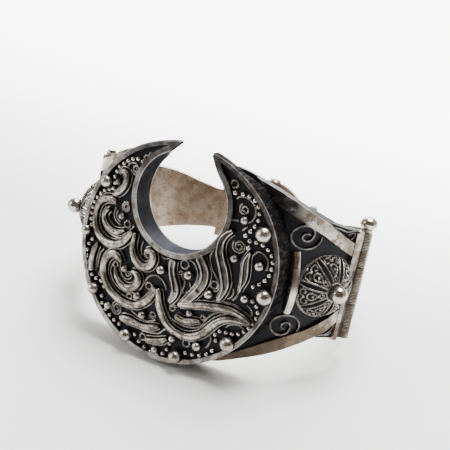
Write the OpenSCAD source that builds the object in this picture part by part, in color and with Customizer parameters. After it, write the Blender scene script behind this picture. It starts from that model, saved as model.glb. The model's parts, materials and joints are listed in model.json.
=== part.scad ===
// Hinged bangle of oxidised silver, in millimetres, lying on its side as it rests by itself.
// Each piece is drawn in the ring's own frame: X to the right, Y to the back, Z along the wrist.
// The ring's origin lies midway between the two hinges, and the crescent stands at the front.
// rest() then lays the whole ring down on the crescent's lower edge and the back medallion's knob.
// An azimuth is an angle round the ring, seen from above: 0 at the front, 90 at the right hinge.

/* [Ring] */
// Distance between the two hinge axes
hinge_span = 64.1; // [63.6:0.1:64.6]
// Thickness of the front and back sheet
sheet_t = 1.0; // [0.9:0.05:1.1]
// Gap left between soldered pieces
seam = 0.03; // [0.02:0.01:0.05]

/* [Crescent] */
// Outer diameter of the crescent
crescent_d = 46.2; // [45.8:0.1:46.4]
// Height of the crescent's centre above the ring's middle
crescent_z = 0.7; // [0.5:0.1:0.9]
// Distance of the crescent's face in front of the hinges
face_y = 23.2; // [23:0.1:23.4]
// Depth of the box at the tips of its horns
horn_depth = 1.9; // [1.7:0.05:2.1]
// Radius that the crescent's face is bent to
face_bend = 138; // [130:1:150]
// Depth of the crescent box, from its rims to the sheet behind it
crescent_depth = 5.3; // [5:0.1:5.6]
// Diameter of the round hollow inside the crescent
hollow_d = 20.7; // [20.5:0.1:20.9]
// Height of the hollow's centre above the ring's middle
hollow_z = 11.5; // [11.3:0.1:11.7]
// Width of the rim along the outer edge
outer_rim = 1.0; // [0.9:0.05:1.1]
// Width of the rim along the hollow
inner_rim = 1.25; // [1.1:0.05:1.3]
// Depth of the dark ground below the rims
relief = 1.0; // [0.9:0.05:1.1]
// Height of the scrolls above the rims
scroll_proud = 0.1; // [0:0.05:0.2]

/* [Side panels] */
// Radius that a side panel is bent to
panel_r = 64; // [62:1:66]
// Azimuth that a side panel faces at the hinge
panel_az = 64; // [63:0.5:65]
// Radius of the bend beside the crescent
corner_r = 9; // [8:0.5:10]
// Height of the raised strips above the ground
strip_h = 0.8; // [0.7:0.05:0.9]
// Width of the upper strip
upper_strip = 2.75; // [2.65:0.05:2.85]

/* [Dome] */
// Diameter of the pierced dome's foot
dome_d = 13.9; // [13.7:0.1:14]
// Height of the pierced dome
dome_h = 4.2; // [4:0.1:4.4]
// Thickness of the pierced dome
dome_t = 0.8; // [0.7:0.05:0.9]
// Distance of the dome's centre from the panel's hinge end
dome_u = 7.5; // [7.4:0.05:7.55]
// Diameter of the granule on the dome
dome_ball_d = 3.6; // [3.4:0.1:3.8]

/* [Hinges] */
// Outer diameter of the knuckles
knuckle_d = 2.3; // [2.2:0.05:2.4]
// Diameter of both pins
pin_d = 1.2; // [1.15:0.05:1.25]
// Running clearance round a pin, on the radius
pin_gap = 0.05; // [0.04:0.01:0.08]
// Diameter of the ball on the clasp pin
clasp_ball_d = 3.7; // [3.5:0.1:3.8]

/* [Back half] */
// Distance of the back sheet's outside behind the hinges
back_y = 26.9; // [26.7:0.1:27.1]
// Sideways place of the back medallion, which is set a little off the middle by hand
medallion_x = -1.3; // [-1.5:0.1:-1]
// Diameter of the back medallion
medallion_d = 20.5; // [20.2:0.1:20.8]
// Length of the two bars beside the medallion
back_bar_l = 14; // [13.6:0.1:14.4]

/* [Hidden] */
$fn = 96;
silver = [0.62, 0.60, 0.56];
dark_silver = [0.34, 0.33, 0.32];
patina = [0.50, 0.43, 0.37];
tall = 80;                                    // longer than any piece, for cutting shapes

// Ring plan. Each arc is given by its centre and its outer radius.
hinge_x = hinge_span / 2;
knuckle_r = knuckle_d / 2;
pin_r = pin_d / 2;
knuckle_zs = [-12, -4.1, 3.9, 11.6];          // the three knuckles' ends, from the bottom
knuckle_gap = 0.15;
bar_reach = 1.5;                              // distance of an end bar from its hinge axis
bar_shift = 0.6;                              // a sheet's outside lies this far outside the axis
face_r = face_bend;
face_c = [0, face_bend - face_y];
front_r = face_r - crescent_depth;            // outside of the sheet behind the crescent
panel_end = hinge_point(panel_az, 1);
panel_c = panel_end - panel_r * out(panel_az);
corner_c = meet(face_c, front_r - corner_r, panel_c, panel_r - corner_r);
front_az = azimuth(corner_c - face_c);        // where the front arc turns into the corner
corner_az = azimuth(corner_c - panel_c);      // where the corner turns into the panel

back_az = 96;                                 // azimuth that the back sheet faces at the hinge
back_side_r = 45;
back_side_c = hinge_point(back_az, -1) - back_side_r * out(back_az);
back_r = 60;
back_c = [0, back_y - back_r];
back_corner_r = 12;
back_corner_c = meet(back_c, back_r - back_corner_r, back_side_c, back_side_r - back_corner_r);
back_corner_az = azimuth(back_corner_c - back_side_c);
back_mid_az = azimuth(back_corner_c - back_c);

// Edges of the front sheet as [x, z], from behind the crescent to the hinge
UPPER_EDGE = [[8, 20.9], [10.75, 20.5], [14.5, 19.5], [18, 18.5], [21.3, 17.3], [24.1, 15.8], [27, 13.75], [29, 11.8],
    [31.5, 9.4], [35, 5.9]];
// The same on the left, where the shoulder drops sooner
LEFT_EDGE = [[8, 20.9], [10.75, 20.4], [14.5, 19.2], [18, 17.6], [20, 16.4], [22, 14.9], [25, 13.4], [28, 12.0],
    [31.5, 9.4], [35, 5.9]];
LOWER_EDGE = [[6, -21.9], [8.6, -21.1], [13, -19.7], [17.3, -17.65], [21.5, -15.6], [24.4, -14.05], [27.1, -12.4],
    [28.7, -11.2], [30.2, -10], [31.3, -8.1], [35, -5.5]];
// Width of the lower strip at each point of its edge
LOWER_STRIP = [0.9, 0.9, 1.0, 1.9, 2.75, 2.9, 2.7, 2.7, 3.1, 2.9, 2.9];
strip_end = 31.4;                             // the strips end at this distance from the middle, at the end bar
// Corner plates that carry the sheet out to the hinge's full height, as [x, z]
UPPER_CORNER = [[26.8, 13.7], [29.2, 12.6], [31, 11.9], [35, 11.6], [35, 8], [27, 12]];
LOWER_CORNER = [[28.2, -11.4], [30.1, -11.7], [35, -11.8], [35, -7], [28.7, -10]];
// Half height of the back sheet as [x, z], from its middle to the hinge
BACK_EDGE = [[0, 4.8], [15, 5], [20, 6], [26.7, 7.8], [35, 10.1]];
back_end_z = 9.4;                             // half height of the back's end bars

// Horns' mouth above the hollow as [x, z], from the left horn to the right one
MOUTH = [[-6.9, 18.9], [-4.8, 21.2], [-3.0, 23.1], [-3.0, 27], [5.9, 27], [4.7, 22.6], [5.6, 20.9], [7.3, 18.4]];
hollow_x = -0.35;
horn_z = 18.5;                                // height from which the horns get thinner
horn_rise = 2.3;                              // height over which they do

// Ribbons of the crescent's relief, each a row of [x, z, width] along its middle. They are scrolls,
// the long leaf on the lower right and loose blades, in the order upper left to lower right.
RIBBONS = [
    [[-15.8, 13.3, 0.6], [-15.3, 13.9, 1.0], [-14.5, 14.05, 1.2], [-13.9, 13.4, 1.25], [-13.8, 12.4, 1.25],
     [-14.1, 11.2, 1.3], [-14.6, 10.1, 1.2], [-15.5, 9.1, 1.0], [-16.6, 8.5, 0.5]],
    [[-15.4, 7.2, 0.7], [-16.2, 7.5, 1.2], [-17.4, 7.4, 1.4], [-18.7, 6.9, 1.35], [-19.8, 5.6, 1.1],
     [-20.25, 3.8, 1.0], [-20.2, 2.0, 1.05], [-19.6, 0.3, 1.15], [-18.5, -0.9, 1.3], [-17.0, -1.65, 1.5],
     [-15.2, -1.9, 1.5], [-13.4, -1.5, 1.5], [-12.0, -0.5, 1.4], [-11.0, 0.8, 1.25], [-10.2, 2.2, 0.9]],
    [[-16.8, 5.2, 0.4], [-17.5, 4.6, 0.7], [-17.9, 3.6, 0.85], [-17.6, 2.6, 1.0], [-16.7, 1.7, 1.15],
     [-15.5, 1.1, 1.2], [-14.3, 1.0, 1.15], [-13.1, 1.4, 0.9], [-12.1, 2.1, 0.4]],
    [[-9.4, 2.3, 0.7], [-9.4, 1.2, 0.85], [-9.45, 0, 0.95], [-9.3, -1.2, 1.2], [-8.75, -2.4, 1.45],
     [-7.9, -3.4, 1.5], [-6.8, -3.9, 1.5], [-5.6, -3.95, 1.5], [-4.6, -3.4, 1.5], [-4.0, -2.4, 1.4],
     [-3.95, -1.3, 1.25], [-4.4, -0.45, 1.1], [-5.3, -0.2, 0.85], [-6.2, -0.6, 0.4]],
    [[-18.3, -3.2, 0.4], [-18.8, -4.2, 0.9], [-19.1, -5.4, 1.15], [-19.25, -6.7, 1.25], [-19.1, -8.0, 1.2],
     [-18.7, -9.1, 1.0]],
    [[-11.5, -4.7, 0.5], [-12.3, -4.0, 1.3], [-13.4, -3.6, 1.6], [-14.6, -4.1, 1.6], [-15.5, -5.2, 1.55],
     [-15.85, -6.7, 1.55], [-15.7, -8.2, 1.6], [-15.0, -9.7, 1.5], [-13.5, -11.3, 1.5], [-11.4, -12.45, 1.5],
     [-9.4, -12.95, 1.5], [-7.6, -13.0, 1.45], [-5.9, -12.6, 1.4], [-4.5, -11.6, 1.4], [-3.3, -10.2, 1.45],
     [-2.6, -8.7, 1.25], [-2.3, -7.4, 0.9]],
    [[-12.6, -6.4, 0.4], [-12.4, -7.4, 0.8], [-11.7, -8.5, 1.1], [-10.5, -9.4, 1.3], [-9.2, -9.75, 1.4],
     [-7.9, -9.4, 1.5], [-6.9, -8.5, 1.6], [-6.55, -7.4, 1.5], [-6.9, -6.4, 1.3], [-7.7, -5.9, 1.0],
     [-8.5, -5.9, 0.6]],
    [[-1.6, -7.4, 0.9], [-1.15, -8.6, 1.2], [-0.85, -9.9, 1.3], [-0.4, -11.0, 1.5], [0.3, -12.1, 1.55],
     [1.1, -13.2, 1.5], [2.2, -14.1, 1.45], [3.4, -14.75, 1.4], [4.8, -15.1, 1.4], [6.3, -15.15, 1.4],
     [7.8, -14.85, 1.45], [9.1, -14.15, 1.4], [10.2, -13.2, 1.45], [11.1, -12.0, 1.45], [12.0, -10.75, 1.4],
     [13.0, -9.7, 1.3], [14.3, -8.9, 1.2], [15.9, -8.5, 1.05], [17.6, -8.4, 0.8], [19.4, -8.3, 0.4]],
    [[3.7, -9.2, 0.9], [5.0, -8.7, 1.15], [7.0, -8.2, 1.15], [9.0, -7.6, 1.25], [11.0, -7.2, 1.35],
     [13.0, -6.85, 1.35], [15.0, -6.75, 1.4], [17.0, -7.1, 1.25], [18.4, -7.6, 1.0], [19.4, -8.15, 0.5]],
    [[3.6, -11.6, 1.1], [4.6, -11.85, 1.05], [5.7, -11.95, 1.1], [6.8, -11.75, 1.15], [7.9, -11.35, 1.0],
     [9.0, -11.0, 0.4]],
    [[-9.3, -16.5, 0.8], [-8.3, -16.4, 1.4], [-7.0, -16.4, 1.65], [-5.5, -16.5, 1.4], [-4.0, -16.5, 1.2],
     [-2.8, -16.4, 1.2], [-1.6, -16.0, 1.2], [-0.6, -15.6, 0.9], [0.2, -15.25, 0.4]],
    [[-2.3, -19.0, 0.8], [-1.2, -18.85, 1.05], [0, -18.6, 1.2], [1.0, -18.25, 1.2], [1.9, -17.75, 1.1],
     [2.6, -17.15, 0.5]],
    [[0.7, -0.5, 1.2], [0.65, -1.5, 1.3], [0.8, -2.6, 1.25], [1.3, -3.9, 1.3], [2.0, -5.2, 1.4],
     [2.4, -6.3, 1.45], [2.45, -7.3, 1.3], [2.1, -8.3, 1.1], [1.6, -9.3, 0.7]],
    [[6.1, 2.0, 1.5], [6.8, 1.3, 1.55], [7.4, 0.4, 1.6], [7.95, -0.5, 1.7], [8.2, -1.7, 1.7],
     [8.1, -3.1, 1.65], [7.5, -4.5, 1.65], [6.7, -5.9, 1.6], [5.7, -7.3, 1.5], [4.8, -8.4, 1.2],
     [3.9, -9.3, 0.6]],
    [[12.0, 9.1, 0.8], [10.95, 8.1, 1.2], [10.2, 6.8, 1.4], [10.1, 5.2, 1.5], [10.4, 3.9, 1.6],
     [11.05, 2.4, 1.6], [11.8, 1.0, 1.7], [12.35, -0.4, 1.7], [12.75, -1.7, 1.6], [12.75, -3.1, 1.2],
     [12.4, -4.4, 1.0], [11.85, -5.5, 0.6]],
    [[16.45, 5.9, 0.4], [16.1, 4.8, 1.0], [16.0, 3.6, 1.4], [16.2, 2.0, 1.45], [16.3, 0.6, 1.4],
     [16.2, -0.5, 1.0], [16.0, -1.6, 0.6], [16.0, -2.5, 0.35]]];
// Ribbons that are hollowed like a leaf. Columns: ribbon, first and last point of the hollow
HOLLOWS = [[12, 0.4, 5.5], [13, 0.4, 6.5], [14, 0.6, 9], [15, 1, 5.6]];
hollow_edge = 0.28;                           // width of the edge left beside a hollow
hollow_depth = 0.4;
// Granules that sit on the crescent's edge, soldered to the rim. Columns: x, z, radius
RIM_GRANULES = [
    [-18.65, 10.75, 1.30], [-21.8, -1.0, 1.20], [-17.2, -12.7, 1.35], [-7.05, -19.7, 1.40],
    [5.2, -20.2, 1.45], [15.6, -13.8, 1.55], [20.9, -2.0, 1.60], [18.2, 10.3, 1.65]];
// Granules that stand on the dark ground between the scrolls. Columns: x, z, radius
GRANULES = [
    [-15.8, 11.4, 0.75], [-13.5, 4.6, 0.75], [-10.4, -6.0, 0.80], [-1.75, -3.4, 1.00],
    [-6.2, -10.6, 0.90], [-4.15, -14.25, 0.92], [-12.9, -15.2, 0.85], [4.5, -2.5, 1.00],
    [9.6, -5.0, 0.98], [17.1, -3.6, 0.90], [13.35, 3.8, 0.88], [18.6, 3.7, 1.00],
    [13.8, 11.9, 0.90], [6.3, -10.25, 0.75], [9.3, -16.5, 1.00], [3.7, -16.8, 0.82],
    [0.2, -20.5, 0.80]];
granule_sink = 0.25;                          // share of its radius that a granule sinks in

// Wire spirals on a side panel. Columns: distance from the panel's hinge end, z, half width,
// half height (negative when it winds the other way), turns, angle of its outer end
SPIRALS = [[14.5, 10.3, 3.4, 2.55, 1.9, 5], [14.9, -8.9, 3.2, -2.45, 1.85, 35], [14.8, 9.15, 3.2, 1.9, 1.9, 5]];
spiral_wire = 0.38;
spiral_h = 0.5;

// Bar beside the dome, half round and arched
bar_u = dome_u + dome_d / 2 + 1.25;
bar_l = 12.6;
bar_lean = 3.6;                               // angle that its top leans away from the hinge
bar_r = 1.0;
bar_rise = 1.3;
bar_z = 0.7;

// Rest pose, lying on the crescent's lower edge and the medallion's lower knob
knob_r = 1.7;
knob_y = back_y + 0.5;
knob_z = medallion_d / 2 - 0.95;
foot_y = -(face_y - crescent_depth) - (knob_y);
foot_z = crescent_d / 2 - crescent_z - knob_z;
rest_tilt = atan2(foot_z, -foot_y) - asin(knob_r / norm([foot_y, foot_z]));
rest_z = (crescent_d / 2 - crescent_z) * cos(rest_tilt) - (face_y - crescent_depth) * sin(rest_tilt);
front_reach = max([for (g = RIM_GRANULES) granule_reach(g)]);
back_reach = knob_y * cos(rest_tilt) + knob_z * sin(rest_tilt) + knob_r;
rest_y = (front_reach - back_reach) / 2;

// Direction that faces outwards at an azimuth
function out(az) = [sin(az), -cos(az)];
// Azimuth of a direction
function azimuth(v) = atan2(v[0], -v[1]);
// Direction along the ring at an azimuth, towards the back
function along(az) = [cos(az), sin(az)];
// Where a sheet's outside ends at the right hinge. side is 1 for the front and -1 for the back
function hinge_point(az, side) = [hinge_x, 0] - side * bar_reach * along(az) + bar_shift * out(az);
// How far a granule reaches to the front once the ring is laid down
function granule_reach(g) =
    let (a = asin(g[0] / (face_r - relief)), r = face_r - relief + g[2] * (1 - granule_sink))
    (r * cos(a) - face_c[1]) * cos(rest_tilt) - g[1] * sin(rest_tilt) + g[2];
// Outer meeting point of two circles
function meet(c1, r1, c2, r2) =
    let (d = norm(c2 - c1), e = (c2 - c1) / d, s = (d * d + r1 * r1 - r2 * r2) / (2 * d))
    c1 + e * s + [-e[1], e[0]] * sqrt(r1 * r1 - s * s) * (e[0] * 0 - e[1] * 1 > 0 ? 1 : -1);

// Smooth curve through points, with each span cut into steps
function between(a, b, c, d, t) =
    (2 * b + (c - a) * t + (2 * a - 5 * b + 4 * c - d) * t * t + (3 * b - a - 3 * c + d) * t * t * t) / 2;
function point_at(p, k) =
    let (n = len(p) - 1, i = min(floor(k), n - 1))
    between(p[max(i - 1, 0)], p[i], p[i + 1], p[min(i + 2, n)], k - i);
function smooth(p, first, last, steps) =
    let (n = round((last - first) * steps))
    [for (i = [0:n]) point_at(p, first + (last - first) * i / n)];
// Outline of a leaf or scroll along [x, z, width] points, trimmed at both sides
function strap(path, trim) =
    let (n = len(path) - 1, side = [for (i = [0:n]) let (d = direction(path, i)) [-d[1], d[0]] * (path[i][2] / 2 - trim)])
    concat([for (i = [0:n]) [path[i][0], path[i][1]] + side[i]],
           [for (i = [n:-1:0]) [path[i][0], path[i][1]] - side[i]]);
// Width of a wire ribbon at a share of its length, full along the middle and narrow at both ends
function taper(k) = 0.35 + 0.65 * pow(sin(180 * min(max(k, 0), 1)), 0.45);
function direction(path, i) =
    let (a = path[max(i - 1, 0)], b = path[min(i + 1, len(path) - 1)], d = [b[0] - a[0], b[1] - a[1]]) d / norm(d);
// Outline of a ribbon of width w along a path
function ribbon(path, w) =
    let (n = len(path) - 1, side = [for (i = [0:n]) let (d = direction(path, i)) [-d[1], d[0]] * w / 2 * taper(i / n)])
    concat([for (i = [0:n]) path[i] + side[i]], [for (i = [n:-1:0]) path[i] - side[i]]);

// Lays the ring down as it rests
module rest() {
    translate([0, rest_y, rest_z]) rotate([-rest_tilt, 0, 0]) children();
}

// Draws a piece and its mirror image
module both_sides() {
    children();
    mirror([1, 0, 0]) children();
}

// Wall of the ring along one arc, between two azimuths, reaching depth t inwards from radius r
module arc_wall(c, r, t, az1, az2) {
    translate([c[0], c[1], -tall / 2]) rotate([0, 0, az1 - 90])
        rotate_extrude(angle = az2 - az1) translate([r - t, 0]) square([t, tall]);
}

// Bend of a wall, which laps into the arcs on both sides of it
module corner_wall(c, r, t, az1, az2) {
    arc_wall(c, r - 0.01, t - 0.02, az1 - 1, az2 + 1);
}

// Right half of the front wall, raised by lift and t thick
module front_wall(lift, t) {
    arc_wall(face_c, front_r + lift, t, -1, front_az);
    corner_wall(corner_c, corner_r + lift, t, front_az, corner_az);
    arc_wall(panel_c, panel_r + lift, t, corner_az, panel_az);
}

// Right half of the back wall
module back_wall(lift, t) {
    arc_wall(back_side_c, back_side_r + lift, t, back_az, back_corner_az);
    corner_wall(back_corner_c, back_corner_r + lift, t, back_corner_az, back_mid_az);
    arc_wall(back_c, back_r + lift, t, back_mid_az, 181);
}

// Stands a drawing in x and z up as a block that is deep along Y
module stand_up() {
    translate([0, tall / 2, 0]) rotate([90, 0, 0]) linear_extrude(tall) children();
}

// Slab bent like the crescent's face, between two heights above it
module face_slab(low, high) {
    spread = 12;                              // half angle that the slab covers
    translate([face_c[0], face_c[1], -tall / 2]) rotate([0, 0, -90 - spread])
        rotate_extrude(angle = 2 * spread) translate([face_r + low, 0]) square([high - low, tall]);
}

// Crescent's outline, with its edges moved inwards by out_in and round the hollow by hole_in
module crescent_outline(out_in, hole_in) {
    difference() {
        translate([0, crescent_z]) circle(crescent_d / 2 - out_in);
        translate([hollow_x, hollow_z]) circle(hollow_d / 2 + hole_in);
        mouth(hole_in);
    }
}

// Opening between the horns, widened by grow
module mouth(grow) {
    polygon([for (p = MOUTH) [p[0] + (p[0] < 1.6 ? -1 : 1) * grow * 1.25, p[1] - (p[1] < 22 ? 0.3 * grow : 0)]]);
}

// Room behind the horns, whose box gets thinner from horn_z upwards
module horn_room() {
    back = crescent_depth - face_y;
    tip = horn_depth - face_y;
    rotate([90, 0, 90]) translate([0, 0, -20]) linear_extrude(40)
        polygon([[2 * back - tip, horn_z - horn_rise], [tip, horn_z + horn_rise], [tip, 30], [0, 30],
            [0, horn_z - horn_rise]]);
}

// Sheet of one side between its upper edge and the lower edge
module half_outline(edge) {
    polygon(concat(edge, [for (i = [len(LOWER_EDGE) - 1:-1:0]) LOWER_EDGE[i]]));
}

// Front half's sheet, as seen from the front
module front_sheet_outline() {
    difference() {
        union() {
            half_outline(UPPER_EDGE);
            mirror([1, 0]) half_outline(LEFT_EDGE);
            both_halves() polygon(UPPER_CORNER);
            both_halves() polygon(LOWER_CORNER);
            intersection() {
                crescent_outline(0.4, 0);
                translate([-30, -60]) square([60, 60 + horn_z + 0.5]);
            }
        }
        translate([hollow_x, hollow_z]) circle(hollow_d / 2 + 0.3);
        mouth(0.3);
    }
}

// Draws a flat shape and its mirror image
module both_halves() {
    children();
    mirror([1, 0]) children();
}

// Raised strips of one side along the edges of its panel, which end at the end bar
module strips_outline(edge) {
    n = len(edge) - 1;
    m = len(LOWER_EDGE) - 1;
    intersection() {
        translate([0, -60]) square([strip_end, 120]);
        union() {
            polygon(concat(edge, [for (i = [n:-1:0]) edge[i] - [0, upper_strip]]));
            polygon(concat(LOWER_EDGE, [for (i = [m:-1:0]) LOWER_EDGE[i] + [0, LOWER_STRIP[i]]]));
        }
    }
}

// Moves a drawing onto the right side panel: u from its hinge end, z up, its own Z facing outwards
module on_panel(u, z, lift = 0) {
    az = panel_az - u / panel_r * 180 / PI;
    p = panel_c + (panel_r + lift) * out(az);
    translate([p[0], p[1], z]) rotate([90, 0, az]) children();
}

// Everything behind the right panel's ground, with the seam, for seating pieces on it
module panel_ground() {
    translate([panel_c[0], panel_c[1], -tall / 2]) cylinder(r = panel_r + seam, h = tall, $fn = 360);
}

// Knuckle of a hinge between two heights, at the right hinge
module knuckle(z1, z2) {
    translate([hinge_x, 0, z1]) cylinder(r = knuckle_r, h = z2 - z1);
}

// Bore through a hinge, at the right hinge
module hinge_bore() {
    translate([hinge_x, 0, -tall / 2]) cylinder(r = pin_r + pin_gap, h = tall);
}

// Room round the knuckles between two heights, where the other half's knuckle turns
module knuckle_room(z1, z2) {
    translate([hinge_x, 0, z1]) cylinder(r = knuckle_r + 0.2, h = z2 - z1);
}

// Square bar at the end of a sheet, and the web that reaches from there to the knuckles.
// far is how far the bar lies from the sheet's end, and proud how much it stands out.
module end_bar(az, side, z1, z2, far, proud) {
    p = hinge_point(az, side);
    translate([p[0], p[1], z1]) rotate([0, 0, az]) mirror([side < 0 ? 1 : 0, 0, 0]) {
        translate([-far, -proud, 0]) cube([1.05, proud + 1.1, z2 - z1]);
        translate([-far + 0.45, 0.05, 0.1]) cube([far + 0.55, 0.9, z2 - z1 - 0.2]);
    }
}

// Room round the front's end bar, which runs below the dome's edge
module end_bar_room() {
    p = hinge_point(panel_az, 1);
    translate([p[0], p[1], -tall / 2]) rotate([0, 0, panel_az])
        translate([-2.6, -strip_h - 0.05, 0]) cube([1.15, 2.5, tall]);
}

// Right hinge parts of the front half: end bar and the outer two knuckles
module front_hinge() {
    difference() {
        union() {
            end_bar(panel_az, 1, knuckle_zs[0], knuckle_zs[3], 2.55, strip_h);
            knuckle(knuckle_zs[0], knuckle_zs[1] - knuckle_gap);
            knuckle(knuckle_zs[2] + knuckle_gap, knuckle_zs[3]);
        }
        hinge_bore();
        knuckle_room(knuckle_zs[1] - knuckle_gap, knuckle_zs[2] + knuckle_gap);
    }
}

module front_band() {
    color(dark_silver) rest() {
        intersection() {
            both_sides() front_wall(0, sheet_t);
            stand_up() front_sheet_outline();
        }
        difference() {
            intersection() {
                both_sides() front_wall(strip_h, strip_h + 0.1);
                stand_up() {
                    strips_outline(UPPER_EDGE);
                    mirror([1, 0]) strips_outline(LEFT_EDGE);
                }
            }
            stand_up() translate([0, crescent_z]) circle(crescent_d / 2 + seam);
        }
        both_sides() front_hinge();
    }
}

module crescent_plaque() {
    wall = 0.9;                               // side wall of the hollow box
    plate = 1.0;                              // plate under the dark ground
    color(dark_silver) rest() {
        difference() {
            intersection() {
                face_slab(-crescent_depth + seam, 0);
                stand_up() crescent_outline(0, 0);
            }
            intersection() {
                face_slab(-relief, 1);
                stand_up() {
                    crescent_outline(outer_rim, inner_rim);
                    for (g = RIM_GRANULES) translate([g[0], g[1]]) circle(g[2] + 0.06, $fn = 48);
                }
            }
            intersection() {
                face_slab(-crescent_depth - 1, -relief - plate);
                stand_up() intersection() {
                    crescent_outline(wall, wall);
                    translate([-30, -60]) square([60, 60 + horn_z - 1.2]);
                }
            }
            horn_room();
        }
        difference() {
            intersection() {
                face_slab(-relief - 0.3, scroll_proud);
                stand_up() ribbons_outline();
            }
            intersection() {
                face_slab(scroll_proud - hollow_depth, 1);
                stand_up() for (h = HOLLOWS) polygon(strap(smooth(RIBBONS[h[0]], h[1], h[2], 2), hollow_edge));
            }
        }
        for (g = concat(RIM_GRANULES, GRANULES)) granule(g);
    }
}

// Ribbons on the crescent, clear of the granules
module ribbons_outline() {
    difference() {
        for (r = RIBBONS) polygon(strap(smooth(r, 0, len(r) - 1, 2), 0));
        for (g = concat(GRANULES, RIM_GRANULES)) translate([g[0], g[1]]) circle(g[2] + 0.08);
    }
}

// One granule on the crescent's dark ground, cut flat below and seated on a solder foot
module granule(g) {
    r = g[2];
    lift = r * (1 - granule_sink);
    a = asin(g[0] / (face_r - relief));
    p = face_c + (face_r - relief) * out(a);
    translate([p[0], p[1], g[1]]) rotate([90, 0, a]) {
        difference() {
            translate([0, 0, lift]) sphere(r, $fn = 48);
            translate([-r - 1, -r - 1, -r]) cube([2 * r + 2, 2 * r + 2, r + 0.05]);
        }
        translate([0, 0, -0.4]) cylinder(r = sqrt(r * r - pow(lift - 0.05, 2)) - 0.02, h = 0.46, $fn = 48);
    }
}

// Leaf-shaped cutter, l long and w wide, that points away from the dome's top
module leaf_cutter(l, w) {
    linear_extrude(3) polygon([[-l / 2, 0], [-l / 5, w / 2], [l / 5, w / 2], [l / 2, 0], [l / 5, -w / 2], [-l / 5, -w / 2]]);
}

// Pierced dome with its foot ring and granule, on the right panel
module dome() {
    foot_r = dome_d / 2;
    ball_r = (foot_r * foot_r + dome_h * dome_h) / (2 * dome_h);
    // Rows of leaves. Columns: angle from the top, number, length, width
    rows = [[24, 6, 1.75, 2.1], [38.5, 10, 1.75, 2.1], [52.5, 14, 1.7, 1.9]];
    difference() {
        on_panel(dome_u, 0) {
            difference() {
                intersection() {
                    translate([0, 0, dome_h - ball_r]) sphere(ball_r);
                    translate([0, 0, -1]) cylinder(r = foot_r + 1, h = dome_h + 2);
                }
                translate([0, 0, dome_h - ball_r]) sphere(ball_r - dome_t);
                translate([0, 0, dome_h - ball_r])
                    for (row = rows, i = [0:row[1] - 1])
                        rotate([0, row[0], 360 / row[1] * (i + row[1] / 20)])
                            translate([0, 0, ball_r - dome_t - 1]) leaf_cutter(row[2], row[3]);
            }
            difference() {
                translate([0, 0, -1]) cylinder(r = foot_r + 0.1, h = 1.7);
                translate([0, 0, -2]) cylinder(r = foot_r - 0.8, h = 4);
            }
            translate([0, 0, dome_h + dome_ball_d / 2 - 0.9]) sphere(dome_ball_d / 2, $fn = 64);
        }
        panel_ground();
        end_bar_room();
    }
}

module dome_right() {
    color(silver) rest() dome();
}

module dome_left() {
    color(silver) rest() mirror([1, 0, 0]) dome();
}

// Half-round bar of length l, arched so that both of its ends reach the ground
module arched_bar(l, r, rise) {
    arch_r = (l * l / 4 + rise * rise) / (2 * rise);
    half = asin(l / 2 / arch_r);
    translate([0, 0, rise - arch_r]) rotate([90, 0, 90]) rotate([0, 0, 90 - half])
        rotate_extrude(angle = 2 * half) translate([arch_r, 0]) circle(r, $fn = 48);
}

module panel_bar() {
    difference() {
        on_panel(bar_u, bar_z) rotate([0, 0, bar_lean]) arched_bar(bar_l, bar_r, bar_rise);
        panel_ground();
    }
}

module bar_right() {
    color(silver) rest() panel_bar();
}

module bar_left() {
    color(silver) rest() mirror([1, 0, 0]) panel_bar();
}

// Centre line of an oval spiral that starts at angle a and runs inwards
function spiral_share(turn) =
    turn < 0.7 ? 1 - 0.06 * turn
    : turn < 1.05 ? 0.96 - 0.6 * (0.5 - 0.5 * cos(180 * (turn - 0.7) / 0.35))
    : 0.36 - 0.12 * (turn - 1.05);
function spiral_path(half_w, half_h, turns, a) =
    let (n = ceil(turns * 30))
    [for (i = [0:n]) let (turn = turns * i / n, t = a - 360 * turn, r = spiral_share(turn))
        [half_w * r * cos(t), half_h * r * sin(t)]];
// Flat wire spiral on the right panel, cut off where it meets a raised strip
module wire_spiral(s, edge) {
    difference() {
        intersection() {
            on_panel(s[0], s[1], -3) linear_extrude(5)
                polygon(ribbon(spiral_path(s[2], s[3], s[4], s[5]), spiral_wire));
            front_wall(spiral_h, spiral_h - seam);
        }
        stand_up() {
            polygon(concat([for (p = edge) p - [0, upper_strip + 0.05]], [[35, 30], [8, 30]]));
            polygon(concat([for (i = [0:len(LOWER_EDGE) - 1]) LOWER_EDGE[i] + [0, LOWER_STRIP[i] + 0.05]],
                           [[35, -30], [6, -30]]));
        }
    }
}

module spiral_right_upper() {
    color(silver) rest() wire_spiral(SPIRALS[0], UPPER_EDGE);
}

module spiral_right_lower() {
    color(silver) rest() wire_spiral(SPIRALS[1], UPPER_EDGE);
}

module spiral_left_upper() {
    color(silver) rest() mirror([1, 0, 0]) wire_spiral(SPIRALS[2], LEFT_EDGE);
}

module spiral_left_lower() {
    color(silver) rest() mirror([1, 0, 0]) wire_spiral(SPIRALS[1], LEFT_EDGE);
}

// Fixed pin of the left hinge, with a flat head at each end
module hinge_pin() {
    color(silver) rest() mirror([1, 0, 0]) {
        translate([hinge_x, 0, knuckle_zs[0] - 0.5]) cylinder(r = pin_r, h = knuckle_zs[3] - knuckle_zs[0] + 1);
        translate([hinge_x, 0, knuckle_zs[0] - 0.6]) cylinder(r = knuckle_r - 0.1, h = 0.55);
        translate([hinge_x, 0, knuckle_zs[3] + 0.05]) cylinder(r = knuckle_r - 0.1, h = 0.7);
    }
}

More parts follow.
